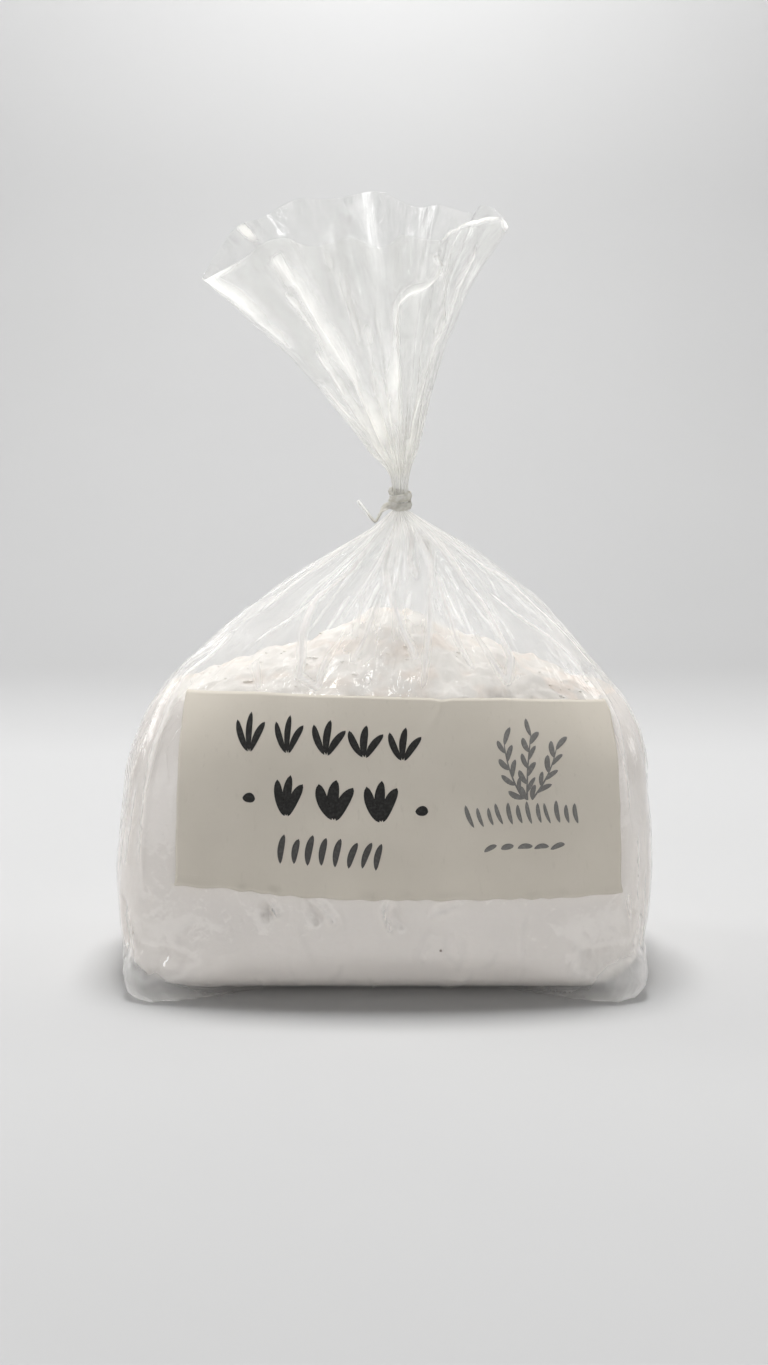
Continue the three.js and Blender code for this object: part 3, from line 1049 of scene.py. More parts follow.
    def relief(self, plain: Grid) -> tuple[Field, Field, Field]:
        """Soft and sharp relief of the film, and its painted highlights, at each point of the plain form.

        Args:
            plain: The plain form.
        Returns:
            Soft relief, sharp relief and painted highlights.
        """
        rows, columns, _ = plain.shape
        turn = np.broadcast_to(np.arange(columns) / columns, (rows, columns))
        height = plain[..., 2]
        steps = np.linalg.norm(np.roll(plain, -1, axis=1) - plain, axis=2)
        girth = np.broadcast_to(steps.sum(axis=1)[:, None], (rows, columns))
        soft = self.soft_relief(turn, plain) + self.form.tent_folds(turn, height)
        narrow = smoothstep(girth, 25.0, 130.0)
        # white: painted highlights along the folds.
        sharp, white = all_marks(self.wrinkles(), turn, height, girth)
        sharp = sharp * (0.25 + 0.75 * narrow)
        below_tie = 1 - smoothstep(height, self.form.tie_low - 2, self.form.tie_low)
        gathers = self.gather_rise * smoothstep(height, 92, 116) * below_tie
        wander = 2.0 * np.sin(6 * np.pi * turn)
        sharp = sharp + gathers * np.abs(np.sin(np.pi * self.gather_count * turn + wander))
        crumple = noise_field(plain, 9.0, 3, 5)
        corner = self.form.ears(plain) / self.form.ear_reach
        sharp = sharp + (self.ear_crumple * corner + self.crumple) * np.abs(crumple)
        covered = self.label_cover(turn, height)
        return soft, sharp * (1 - 0.8 * covered), white * (1 - covered)

    def build(self, finish: Material) -> Piece:
        """Builds and dresses the film below the tie.

        Args:
            finish: The film material.
        Returns:
            The piece.
        """
        heights = self.heights()
        plain = self.form.rings(heights, self.columns)
        soft, sharp, white = self.relief(plain)
        normal = outward_normals(plain)
        grid = plain + normal * (soft + sharp + self.form.ears(plain))[..., None]
        grid[..., 2] = np.maximum(grid[..., 2], 0.0)
        grid[0, :, 2] = 0.0
        middle = grid[0].mean(axis=0)
        shares = np.linspace(0.06, 0.97, self.sole_rows)[:, None, None]
        sole = middle + (grid[0] - middle) * shares
        sole[..., 2] = 0.35 * (1 - shares[..., 0] ** 6)
        neck = np.stack([grid[-1]] * 2)
        neck[..., 2] = np.array([(self.form.tie_low + self.closing) / 2, self.closing])[:, None]
        whole = np.concatenate([sole, grid, neck])
        piece = loft("film_body", whole)
        turn = np.broadcast_to(np.arange(self.columns) / self.columns, whole.shape[:2])
        store_field(piece, "film_place", film_place(turn, whole[..., 2]))
        gathered = smoothstep(whole[..., 2], 100.0, self.form.tie_low)
        dusty = smoothstep(noise_field(whole, 14.0, 3, 8), -0.1, 0.5)
        dust = dusty * smoothstep(whole[..., 2], 70, 80) * (1 - smoothstep(whole[..., 2], 90, 108))
        # Painted highlights along the folds, added to the haze.
        marks = np.concatenate([np.zeros(sole.shape[:2]), white, np.zeros(neck.shape[:2])])
        # Painted lightening: more haze on the tent's front, which gets less light.
        front = 1 - smoothstep(np.abs(turn_gap(turn, 0.99)), 0.03, 0.13)
        all_round, painted_front_lightening = self.haze_and_front_lightening
        loose = self.loose_haze * (all_round + painted_front_lightening * front) * smoothstep(whole[..., 2], 74, 88)
        ear = self.ear_haze * self.form.ears(whole) / self.form.ear_reach
        haze = self.haze + loose + self.gathered_haze * gathered**2 + self.dust * dust + ear + marks
        store_field(piece, "film_haze", haze)
        store_field(piece, "film_layers", self.gathered_layers * gathered)
        dress(piece, finish, "film", "bag")
        self.plain, self.soft, self.sharp, self.normal = plain, soft, sharp, normal
        return piece


# ---- Film above the tie ----
@dataclass
class FilmMouth:
    """The open end of the bag, flared above the tie: a thin wall with an outer and an inner face."""

    form: BagForm
    columns: int = 380
    rows: int = 116
    wall: float = 0.12
    opening: float = 126.15  # height inside the tie at which this film starts
    hollow_floor: float = 0.04  # share of the way to the rim at which the hollow starts
    haze: float = 0.07
    gathered_haze: float = 0.26  # more of it next to the tie
    layers: Pair = (0.5, 0.38)  # how layered the film is: everywhere, and added at the tie
    gathered_run: float = 40.0  # film length over which both fade
    last_ring: float = 0.9994  # share of the way at which a close ring keeps the cut edge thin
    # Folds, and painted highlight bands, that show from the front: turn and film length, from the rim down.
    # The last number of each is its painted highlight.
    folds: tuple[Fold, ...] = (
        Fold(((0.775, 76), (0.792, 66), (0.795, 55), (0.80, 44)), 1.0, 1.8, 0.35),
        Fold(((0.868, 72), (0.873, 64), (0.872, 50), (0.885, 36), (0.905, 20), (0.91, 8)), 1.8, 2.6, 0.36),
        Fold(((0.855, 70), (0.862, 66), (0.87, 60)), 0.8, 3.4, 0.45),
        Fold(((0.835, 44), (0.85, 30), (0.86, 16)), 1.0, 1.4, 0.35),
        Fold(((0.53, 80), (0.56, 72), (0.60, 62), (0.61, 44)), 0.6, 2.6, 0.18),
        Fold(((0.68, 79), (0.70, 78)), 0.0, 2.2, 0.9),
        Fold(((0.10, 64), (0.06, 58), (0.01, 52), (0.0, 38), (0.985, 22)), 2.0, 1.3, 0.35),
        Fold(((0.06, 66), (0.10, 60), (0.13, 58)), 1.0, 1.0, 0.30),
        Fold(((0.14, 52), (0.13, 36), (0.11, 18), (0.10, 8)), 1.6, 1.4, 0.30),
        Fold(((0.20, 66), (0.19, 54), (0.185, 44)), 1.2, 1.0, 0.30),
        Fold(((0.95, 50), (0.955, 34), (0.965, 14)), 1.4, 1.4, 0.25),
    )
    # Stretches of the cut edge with a painted highlight: middle turn, half width in turns, strength.
    bright_rim: tuple[Triple, ...] = (
        (0.155, 0.055, 0.75), (0.23, 0.02, 0.5), (0.79, 0.03, 0.5))

    def shape(self, turn: np.ndarray, share: np.ndarray) -> tuple[Grid, Field, Field]:
        """The middle of the film's wall, its film lengths and its painted highlights.

        Args:
            turn: Turn of each column.
            share: Share of the way of each row.
        Returns:
            The points, the film lengths and the painted highlights.
        """
        base, length = self.form.flare(turn, share)
        wide = np.broadcast_to(turn, length.shape)
        normal = outward_normals(base)
        steps = np.linalg.norm(np.roll(base, -1, axis=1) - base, axis=2)
        girth = steps.sum(axis=1)[:, None] * np.ones_like(wide)
        folds = list(self.folds)
        # The last number of each draw is the largest painted highlight.
        folds += scattered_folds(11, 20, (0.0, 1.0), (26, 74), (12, 42), 1.2, 2.2, 0.22)
        folds += scattered_folds(12, 20, (0.0, 1.0), (8, 40), (6, 24), 0.25, 1.0, 0.2)
        sharp, white = all_marks(folds, wide, length, girth)
        sharp = sharp * (0.2 + 0.8 * smoothstep(girth, 20, 120))
        place = film_place(wide, length) / MM
        crumple = noise_field(place * np.array([1.0, 1.0, 0.6]), 24.0, 2, 21)
        dimples = noise_field(place, 10.0, 2, 22)
        waves = self.form.ruffle_depth * self.form.pleats(wide, self.form.ruffles)
        rim = share[:, None]
        relief = sharp + rim**1.3 * waves + rim * (1.8 * (0.5 - np.abs(crumple)) + 0.6 * dimples)
        points = base + normal * (relief * smoothstep(length, 0.0, 8.0))[..., None]
        # Painted highlights along stretches of the cut edge.
        edge = smoothstep(rim, 0.975, 0.995)
        for middle, half, strength in self.bright_rim:
            white = np.maximum(white, strength * edge * np.exp(-((turn_gap(wide, middle) / half) ** 2)))
        return points, length, white

    def build(self, finish: Material) -> Piece:
        """Builds and dresses the film above the tie.

        Args:
            finish: The film material.
        Returns:
            The piece.
        """
        turn = np.arange(self.columns) / self.columns
        share = np.linspace(0.0, 1.0, self.rows) ** 1.12
        share[-2] = self.last_ring
        middle, length, white = self.shape(turn, share)
        normal = outward_normals(middle)
        outer = middle + 0.5 * self.wall * normal
        inside = share > self.hollow_floor
        inner = (middle - 0.5 * self.wall * normal)[inside][::-1]
        stem = np.stack([outer[0]] * 2)
        stem[..., 2] = np.array([self.opening, (self.opening + self.form.tie_high) / 2])[:, None]
        whole = np.concatenate([stem, outer, inner])
        piece = loft("film_mouth", whole)
        film_length = np.concatenate([np.zeros((2, self.columns)), length, length[inside][::-1]])
        wide = np.broadcast_to(turn, film_length.shape)
        store_field(piece, "film_place", film_place(wide, film_length + self.form.tie_high))
        gathered = 1 - smoothstep(film_length, 0.0, self.gathered_run)
        # Painted highlights along folds and rim, added to the haze.
        marks = np.concatenate([np.zeros((2, self.columns)), white, white[inside][::-1]])
        everywhere, more_at_tie = self.layers
        store_field(piece, "film_haze", self.haze + self.gathered_haze * gathered**2 + marks)
        store_field(piece, "film_layers", everywhere + more_at_tie * gathered)
        dress(piece, finish, "film", "bag")
        # So thin a film shades next to nothing, and its shadow would grey the neck and the heap.
        piece.visible_shadow = False
        return piece


# ---- Flour ----
@dataclass
class Flour:
    """The rice flour: pressed to the film at its sides, with a clumpy heap on top under the loose film."""

    form: BagForm
    gap: float = 0.35
    rim: float = 75.0  # height at which the side turns over into the heap
    plateau: float = 88.0  # height of the heap round its hump
    mound: float = 1.9  # how steeply the heap falls to its rim
    side_drop: float = 2.5  # how much lower it lies at the left and the right
    hump: tuple[float, float, float, float] = (3.0, 1.0, 96.5, 16.0)  # x, y, height, half width
    heap_rows: int = 84

    def side(self, film: FilmBody) -> Grid:
        """The pressed side, from the sole up to the rim.

        Args:
            film: The film body, for its relief.
        Returns:
            The rings.
        """
        rows = film.plain[:, 0, 2] <= self.rim
        sharp = np.minimum(film.sharp[rows], 0.0) + 0.6 * np.clip(film.sharp[rows], 0.0, 1.0)
        depth = film.soft[rows] + sharp - self.gap
        return film.plain[rows] + film.normal[rows] * depth[..., None]

    def heap_height(self, place: Grid, share: Field) -> Field:
        """Height of the loose heap before the film presses on it.

        Args:
            place: Points over the heap.
            share: Share of the way from the heap's middle to its rim.
        Returns:
            The height at each point.
        """
        x, y = place[..., 0], place[..., 1]
        hump_x, hump_y, hump_top, hump_half = self.hump
        flat = np.stack([x, y, np.zeros_like(x)], axis=-1)
        hump = (hump_top - self.plateau) * np.exp(-(((x - hump_x) ** 2 + (y - hump_y) ** 2) / hump_half**2))
        lie = self.rim + (self.plateau - self.rim) * (1.0 - share**self.mound)
        lie = lie - self.side_drop * smoothstep(np.abs(x), 34.0, 60.0)
        clods = 3.4 * (lump_field(flat, 11.0, 2) - 0.5) + 1.5 * (lump_field(flat, 5.0, 3) - 0.5)
        return lie + hump + 1.2 * noise_field(flat, 30.0, 2, 31) + clods + 0.5 * noise_field(flat, 3.0, 3, 32)

    def heap(self, rim_ring: np.ndarray, film: Piece) -> tuple[Grid, Field]:
        """Rings of the heap from the rim in to its middle, and how closely each point meets the film.

        Args:
            rim_ring: The side's last ring.
            film: The film's object, as a ceiling.
        Returns:
            The rings and the contact, from 0 to 1.
        """
        middle = np.array([self.form.neck_x, 0.0, 0.0])
        share = (1 - np.arange(1, self.heap_rows + 1) / (self.heap_rows + 0.5))[:, None, None]
        flat = middle + (rim_ring[None] - middle) * share
        height = self.heap_height(flat, share[..., 0])
        tree = BVHTree.FromObject(film, bpy.context.evaluated_depsgraph_get())
        ceiling = np.empty_like(height)
        up = Vector((0.0, 0.0, 1.0))
        start = (self.rim - 30.0) * MM
        for row, column in np.ndindex(height.shape):
            x, y = flat[row, column, :2] * MM
            hit = tree.ray_cast(Vector((x, y, start)), up)[0]
            ceiling[row, column] = hit.z / MM if hit is not None else self.rim
        ceiling -= self.gap + 0.15
        settle = smoothstep(share[..., 0], 0.955, 1.0)
        height = height * (1 - settle) + ceiling * settle
        contact = 1 - smoothstep(ceiling - height, 0.0, 1.5)
        flat[..., 2] = np.minimum(height, ceiling)
        return flat, contact

    def build(self, finish: Material, film: FilmBody, skin: Piece) -> Piece:
        """Builds and dresses the flour.

        Args:
            finish: The flour material.
            film: The film body, for the relief that the flour shares.
            skin: The film's object, which the heap stays under.
        Returns:
            The piece.
        """
        side = self.side(film)
        side[..., 2] = np.maximum(side[..., 2], self.gap)
        middle = side[0].mean(axis=0)
        shares = np.linspace(0.1, 0.97, 5)[:, None, None]
        sole = middle + (side[0] - middle) * shares
        sole[..., 2] = self.gap + 0.35
        heap, contact = self.heap(side[-1], skin)
        whole = np.concatenate([sole, side, heap])
        piece = loft("flour", whole)
        below = np.zeros((len(sole) + len(side), sole.shape[1]))
        store_field(piece, "contact", np.concatenate([below + 1, contact]))
        heaped = np.concatenate([below, np.ones(contact.shape)])
        store_field(piece, "heaped", heaped)
        # Painted shade for the heap's sides: none at the hump, stronger away from it and most on the right.
        away = smoothstep(np.abs(whole[..., 0] - self.hump[0]), 10.0, 34.0)
        store_field(piece, "low_heap", heaped * away * (0.4 + 0.5 * smoothstep(whole[..., 0], 0.0, 30.0)))
        free = np.concatenate([below, 1 - contact])
        store_field(piece, "crumb_cover", free * smoothstep(noise_field(whole, 11.0, 2, 41), -0.35, 0.3))
        dress(piece, finish, "flour", "bag")
        return piece


# ---- Geometry Nodes: shared tools ----
@dataclass
class NodeTool:
    """A Geometry Nodes tree with named inputs, applied to an object and turned into plain mesh."""

    name: str
    inputs: dict[str, str]  # name and socket type of each input
    tree: Tree = field(init=False)
    sockets: dict[str, str] = field(init=False, default_factory=dict)
    entry: Node = field(init=False)
    exit: Node = field(init=False)

    def __post_init__(self) -> None:
        """Makes the empty tree and its sockets."""
        self.tree = bpy.data.node_groups.new(self.name, "GeometryNodeTree")
        face = self.tree.interface
        face.new_socket(name="Geometry", in_out="INPUT", socket_type="NodeSocketGeometry")
        for name, kind in self.inputs.items():
            self.sockets[name] = face.new_socket(name=name, in_out="INPUT", socket_type=kind).identifier
        face.new_socket(name="Geometry", in_out="OUTPUT", socket_type="NodeSocketGeometry")
        self.entry = self.tree.nodes.new("NodeGroupInput")
        self.exit = self.tree.nodes.new("NodeGroupOutput")

    def __getitem__(self, name: str) -> Socket:
        """The output socket of a named input."""
        return self.entry.outputs[name]

    def finish(self, geometry: Socket) -> None:
        """Ends the tree: instances are realized, shaded smooth and given the input material.

        Args:
            geometry: What the tree has made.
        """
        real = add_node(self.tree, "GeometryNodeRealizeInstances", {0: geometry}).outputs[0]
        smooth = add_node(self.tree, "GeometryNodeSetShadeSmooth", {0: real}).outputs[0]
        painted = add_node(self.tree, "GeometryNodeSetMaterial",
                           {"Geometry": smooth, "Material": self["Material"]})
        self.tree.links.new(painted.outputs[0], self.exit.inputs[0])

    def apply(self, base: Piece, name: str, **values: Any) -> Piece:
        """Runs the tree on a base object and returns the result as a plain mesh object.

        Args:
            base: The object that carries the modifier.
            name: Name of the new piece.
            **values: A value for each named input, with spaces written as underscores.
        Returns:
            The new object.
        """
        modifier = base.modifiers.new(self.name, "NODES")
        modifier.node_group = self.tree
        for key, value in values.items():
            modifier[self.sockets[key.replace("_", " ")]] = value
        bpy.context.view_layer.update()
        shown = base.evaluated_get(bpy.context.evaluated_depsgraph_get())
        mesh = bpy.data.meshes.new_from_object(shown)
        base.modifiers.remove(modifier)
        mesh.name = name
        made = bpy.data.objects.new(name, mesh)
        bpy.context.scene.collection.objects.link(made)
        return made


def drop(piece: Piece) -> None:
    """Removes a helper object that the finished scene doesn't show."""
    bpy.data.objects.remove(piece)


# ---- Crumbs ----
@dataclass
class Crumbs:
    """Small loose clods of flour that lie on the heap under the loose film."""

    per_square_mm: float = 0.05
    smallest: float = 0.25  # radius
    largest: float = 0.7
    squash: tuple[Triple, Triple] = ((0.9, 0.9, 0.3), (1.4, 1.4, 0.55))  # of a round clod, from and to
    tilt: tuple[Triple, Triple] = ((-0.2, -0.2, 0.0), (0.2, 0.2, 6.28))  # radians, from and to
    unevenness: float = 0.8  # how far a clod's surface is pushed in and out, in mm
    seed: int = 5

    def tool(self) -> NodeTool:
        """The tree that scatters clods over a surface, densest where crumb_cover is 1.

        Returns:
            The tool.
        """
        tool = NodeTool("scatter_clods", {"Density": "NodeSocketFloat", "Smallest": "NodeSocketFloat",
                                          "Largest": "NodeSocketFloat", "Seed": "NodeSocketInt",
                                          "Material": "NodeSocketMaterial"})
        tree = tool.tree
        cover = add_node(tree, "GeometryNodeInputNamedAttribute", {"Name": "crumb_cover"}, data_type="FLOAT")
        density = maths(tree, "MULTIPLY", cover.outputs[0], tool["Density"])
        points = add_node(tree, "GeometryNodeDistributePointsOnFaces",
                          {"Mesh": tool["Geometry"], "Density": density, "Seed": tool["Seed"]})
        ball = add_node(tree, "GeometryNodeMeshIcoSphere", {"Radius": 1.0, "Subdivisions": 2})
        size = random_node(tree, tool["Smallest"], tool["Largest"], tool["Seed"])
        squash = random_node(tree, *self.squash, 11)
        scale = add_node(tree, "ShaderNodeVectorMath", {0: squash, "Scale": size}, operation="SCALE")
        clods = add_node(tree, "GeometryNodeInstanceOnPoints",
                         {"Points": points.outputs[0], "Instance": ball.outputs[0],
                          "Rotation": random_node(tree, *self.tilt, 12), "Scale": scale.outputs[0]})
        real = add_node(tree, "GeometryNodeRealizeInstances", {0: clods.outputs[0]})
        place = add_node(tree, "GeometryNodeInputPosition")
        rough = add_node(tree, "ShaderNodeTexNoise",
                         {"Vector": place.outputs[0], "Scale": 420.0, "Detail": 3.0})
        centred = add_node(tree, "ShaderNodeVectorMath", {0: rough.outputs["Color"], 1: (0.5, 0.5, 0.5)},
                           operation="SUBTRACT")
        push = add_node(tree, "ShaderNodeVectorMath", {0: centred.outputs[0], "Scale": self.unevenness * MM},
                        operation="SCALE")
        bent = add_node(tree, "GeometryNodeSetPosition",
                        {"Geometry": real.outputs[0], "Offset": push.outputs[0]})
        tool.finish(bent.outputs[0])
        return tool

    def build(self, flour: Piece, finish: Material) -> Piece:
        """Scatters the clods over the flour.

        Args:
            flour: The flour, with its crumb_cover field.
            finish: The flour material.
        Returns:
            The piece.
        """
        piece = self.tool().apply(flour, "flour_clods", Density=self.per_square_mm / MM**2,
                                  Smallest=self.smallest * MM, Largest=self.largest * MM,
                                  Seed=self.seed, Material=finish)
        dress(piece, finish, "flour", "bag")
        return piece


# ---- Label and its print ----
@dataclass
class Label:
    """The paper label, bent round the front of the bag over the film."""

    form: BagForm
    width: float = 116.0
    low: float = 27.5
    high: float = 77.0
    centre_x: float = 4.0
    gap: float = 0.42
    thickness: float = 0.24
    columns: int = 150
    rows: int = 64
    torn_edge: float = 0.16  # depth of the fine nicks in the lower edge
    # How far the hand-cut edges run above their height: distance from the label's middle, and rise.
    top_edge: tuple[tuple[float, ...], tuple[float, ...]] = (
        (-58, -37, -10, 8, 10.5, 13, 26, 44, 58), (0.3, 1.4, 1.1, 0.5, 0.0, 0.4, 0.2, -1.2, -2.6))
    foot_edge: tuple[tuple[float, ...], tuple[float, ...]] = (
        (-58, -45, -37, -23, -12, 30, 58), (2.4, 2.5, 1.8, 0.5, 0.0, 0.0, -0.5))

    def surface(self, across: np.ndarray, height: np.ndarray, lift: float) -> Grid:
        """Points over the label's outer face.

        Args:
            across: Distance from the label's middle of each column.
            height: Height of each row.
            lift: Distance out from the outer face.
        Returns:
            A grid of points.
        """
        levels = np.arange(self.low - 3.0, self.high + 4.0, 0.5)
        sheet = self.form.front(across, levels, self.centre_x)
        torn = self.torn_edge * np.sin(across / 1.1 + 2.0 * np.sin(across / 5.3))
        foot = self.low + np.interp(across, *self.foot_edge) + torn
        top = self.high + np.interp(across, *self.top_edge)
        share = (height - self.low) / (self.high - self.low)
        cut = foot + share[:, None] * (top - foot)
        body = np.empty((len(height), len(across), 3))
        for column, axis in np.ndindex(len(across), 3):
            body[:, column, axis] = np.interp(cut[:, column], levels, sheet[:, column, axis])
        grown = outward_flat_normals(body)
        return body + grown * (self.gap + self.thickness + self.waves(across, height) + lift)[..., None]

    def waves(self, across: np.ndarray, height: np.ndarray) -> Field:
        """How far the paper lifts off the film: slow waves, a soft crease and curled edges.

        Args:
            across: Distance from the label's middle of each column.
            height: Height of each row.
        Returns:
            The distance at each point.
        """
        a, h = np.meshgrid(across, height)
        slow = 0.10 * np.sin(a / 9.0 + 0.6 * np.sin(h / 8.0)) + 0.08 * np.sin(h / 7.0 + a / 21.0)
        crease_x = 10.5 - (self.high - h) * 0.42
        crease = 0.5 * np.exp(-np.abs(a - crease_x) / 1.0) * smoothstep(h, self.high - 12.0, self.high - 2.0)
        nicks = (0.5 + 0.5 * np.sin(a / 2.3 + 2.4 * np.sin(a / 6.1) + 1.0)) ** 3
        foot = 0.75 * nicks * (1 - smoothstep(h, self.low, self.low + 2.6))
        side = 0.25 * smoothstep(np.abs(a), self.width / 2 - 3.0, self.width / 2)
        return 0.16 + slow + crease + foot + side * (0.6 + 0.4 * np.sin(h / 1.9))

    def build(self, finish: Material) -> Piece:
        """Builds and dresses the paper.

        Args:
            finish: The paper material.
        Returns:
            The piece.
        """
        across = np.linspace(-self.width / 2, self.width / 2, self.columns)
        height = np.linspace(self.low, self.high, self.rows)
        front = self.surface(across, height, 0.0)
        back = self.surface(across, height, -self.thickness)
        piece = slab("label_paper", front, back)
        dress(piece, finish, "paper", "label")
        return piece


def outward_flat_normals(grid: Grid) -> Grid:
    """Unit normals of an open grid whose columns run to the right and rows up."""
    normal = np.cross(np.gradient(grid, axis=1), np.gradient(grid, axis=0))
    return normal / np.linalg.norm(normal, axis=2, keepdims=True)


def slab(name: str, front: Grid, back: Grid) -> Piece:
    """A closed sheet between two open grids of equal size.

    Args:
        name: Name of the piece.
        front: Its face.
        back: Its other face.
    Returns:
        The linked object.
    """
    rows, columns, _ = front.shape
    total = rows * columns
    faces: list[tuple[int, ...]] = []
    for row in range(rows - 1):
        for column in range(columns - 1):
            a = row * columns + column
            faces.append((a, a + 1, a + columns + 1, a + columns))
            faces.append((total + a, total + a + columns, total + a + columns + 1, total + a + 1))
    border = list(range(columns)) + [columns * row + columns - 1 for row in range(1, rows)]
    border += [total - 1 - k for k in range(1, columns)] + [columns * row for row in range(rows - 2, 0, -1)]
    for a, b in zip(border, border[1:] + border[:1]):
        faces.append((a, total + a, total + b, b))
    return link_mesh(name, np.vstack([front.reshape(-1, 3), back.reshape(-1, 3)]), faces)


class Motif(Enum):
    """What stands at each place of a printed row."""

    GRAIN = (0.0,)  # lean of each grain from upright, degrees
    SPROUT = (-27.0, 0.0, 27.0)
    TUFT = (-21.0, 0.0, 21.0)


@dataclass(frozen=True)
class GrainRow:
    """A printed row of rice grains on the flat label, from one place to another."""

    name: str
    start: Pair  # across and up from the label's middle, mm
    end: Pair
    count: int
    grain: Pair  # width and length of a grain
    motif: Motif
    tilt: float = 90.0  # degrees from the row's own direction
    swing: float = 0.0  # degrees that every second one is turned further
    bow: float = 0.0  # how far the row's middle swings off the straight
    seed: int = 1
    stem: float = 0.0  # width of a stem drawn along the row


@dataclass
class Print:
    """Generic print of the label: tufts and rows of rice grains, and grey ears of rice."""

    label: Label
    thickness: float = 0.03
    lift: float = 0.03  # of the print's back off the paper
    wrap_step: float = 0.5  # distance between the places at which the paper's face is taken
    bold: tuple[GrainRow, ...] = (
        GrainRow("row_top", (-38.6, 9.6), (0.4, 9.0), 5, (1.7, 8.6), Motif.SPROUT, 88.0, bow=0.5, seed=1),
        GrainRow("row_middle", (-29.2, -6.0), (-5.0, -6.6), 3, (2.5, 9.8), Motif.TUFT, 88.0, seed=2),
        GrainRow("dot_left", (-40.2, -0.9), (-40.0, -0.9), 1, (2.6, 3.0), Motif.GRAIN, 0.0),
        GrainRow("dot_right", (3.6, -2.4), (3.8, -2.4), 1, (2.6, 3.0), Motif.GRAIN, 0.0),
    )
    plain: tuple[GrainRow, ...] = (
        GrainRow("row_low", (-30.6, -16.6), (-6.4, -17.2), 8, (1.7, 7.4), Motif.GRAIN, 76.0, bow=0.3, seed=3),
    )
    grey: tuple[GrainRow, ...] = (
        GrainRow("ear_left", (31.0, 0.6), (26.2, 13.6), 8, (1.2, 4.2), Motif.GRAIN,
                 28.0, -56.0, 0.8, 4, 0.5),
        GrainRow("ear_middle", (32.0, 0.4), (33.2, 16.0), 9, (1.2, 4.2), Motif.GRAIN,
                 28.0, -56.0, 0.4, 8, 0.5),
        GrainRow("ear_right", (33.2, 0.6), (39.8, 12.8), 8, (1.2, 4.2), Motif.GRAIN,
                 28.0, -56.0, -0.8, 5, 0.5),
        GrainRow("row_right", (18.4, -6.4), (45.4, -5.5), 12, (1.0, 5.4), Motif.GRAIN,
                 104.0, bow=0.5, seed=6),
        GrainRow("row_right_low", (21.0, -12.4), (38.0, -11.9), 5, (1.2, 3.6), Motif.GRAIN,
                 14.0, bow=0.4, seed=7),
    )

    def tool(self) -> NodeTool:
        """The tree that sets marks along a route, each a little different.

        Returns:
            The tool.
        """
        tool = NodeTool("marks_along_route", {
            "Count": "NodeSocketInt", "Mark": "NodeSocketObject", "Tilt": "NodeSocketFloat",
            "Swing": "NodeSocketFloat", "Seed": "NodeSocketInt", "Material": "NodeSocketMaterial"})
        tree = tool.tree
        route = add_node(tree, "GeometryNodeMeshToCurve", {0: tool["Geometry"]})
        points = add_node(tree, "GeometryNodeCurveToPoints",
                          {"Curve": route.outputs[0], "Count": tool["Count"]})
        odd = maths(tree, "MODULO", add_node(tree, "GeometryNodeInputIndex").outputs[0], 2.0)
        over = maths(tree, "MULTIPLY", odd, tool["Swing"])
        jitter = random_node(tree, -0.1, 0.1, tool["Seed"])
        angle = maths(tree, "ADD", maths(tree, "ADD", tool["Tilt"], over), jitter)
        turn = add_node(tree, "ShaderNodeCombineXYZ", {"Z": angle})
        upright = add_node(tree, "FunctionNodeAlignRotationToVector",
                           {"Vector": points.outputs["Tangent"]}, axis="X")
        spin = add_node(tree, "FunctionNodeEulerToRotation", {0: turn.outputs[0]})
        turned = add_node(tree, "FunctionNodeRotateRotation", {0: upright.outputs[0], 1: spin.outputs[0]},
                          rotation_space="GLOBAL")
        stretch = random_node(tree, (0.86, 0.85, 1.0), (1.1, 1.18, 1.0), tool["Seed"])
        mark = add_node(tree, "GeometryNodeObjectInfo", {"Object": tool["Mark"]})
        made = add_node(tree, "GeometryNodeInstanceOnPoints",
                        {"Points": points.outputs[0], "Instance": mark.outputs["Geometry"],
                         "Rotation": turned.outputs[0], "Scale": stretch})
        tool.finish(made.outputs[0])
        return tool

    def grain(self, width: float, length: float, lean: float, foot: float) -> tuple[Grid, Grid]:
        """Front and back of one flat grain, pointed at both ends, that starts foot from the origin.

        Args:
            width: Its width.
            length: Its length.
            lean: Degrees that it leans.
            foot: Distance of its foot.
        Returns:
            The two faces.
        """
        along = np.linspace(-1.0, 1.0, 15)
        half = 0.5 * width * (1 - np.abs(along) ** 2.2) ** 0.65 * (1.0 + 0.12 * along) + 0.02
        side = np.linspace(-1.0, 1.0, 5)
        x = np.broadcast_to(foot + 0.5 * length * (1.0 + along), (5, 15))
        y = side[:, None] * half + 0.05 * length * (1 - along**2)
        cosine, sine = math.cos(math.radians(lean)), math.sin(math.radians(lean))
        top = np.full_like(x, self.thickness)
        front = np.stack([x * cosine - y * sine, x * sine + y * cosine, top], axis=-1)
        return front, front * np.array([1.0, 1.0, 0.0])

    def stamp(self, row: GrainRow) -> Piece:
        """The mark that a row repeats, standing along X from the origin.

        Args:
            row: The row.
        Returns:
            The mark's object.
        """
        width, length = row.grain
        foot = 0.55 * width if len(row.motif.value) > 1 else 0.0
        grains = [slab("grain", *self.grain(width, length * (1.0 - 0.004 * abs(lean)), lean, foot))
                  for lean in row.motif.value]
        return join("mark", grains)

    def line(self, row: GrainRow) -> np.ndarray:
        """Points along a row on the flat label.

        Args:
            row: The row.
        Returns:
            The points.
        """
        share = np.linspace(0.0, 1.0, 24)[:, None]
        start, end = np.array([*row.start, 0.0]), np.array([*row.end, 0.0])
        along = end - start
        side = np.array([-along[1], along[0], 0.0]) / np.linalg.norm(along)
        return start + along * share + side * row.bow * 4 * share * (1 - share)

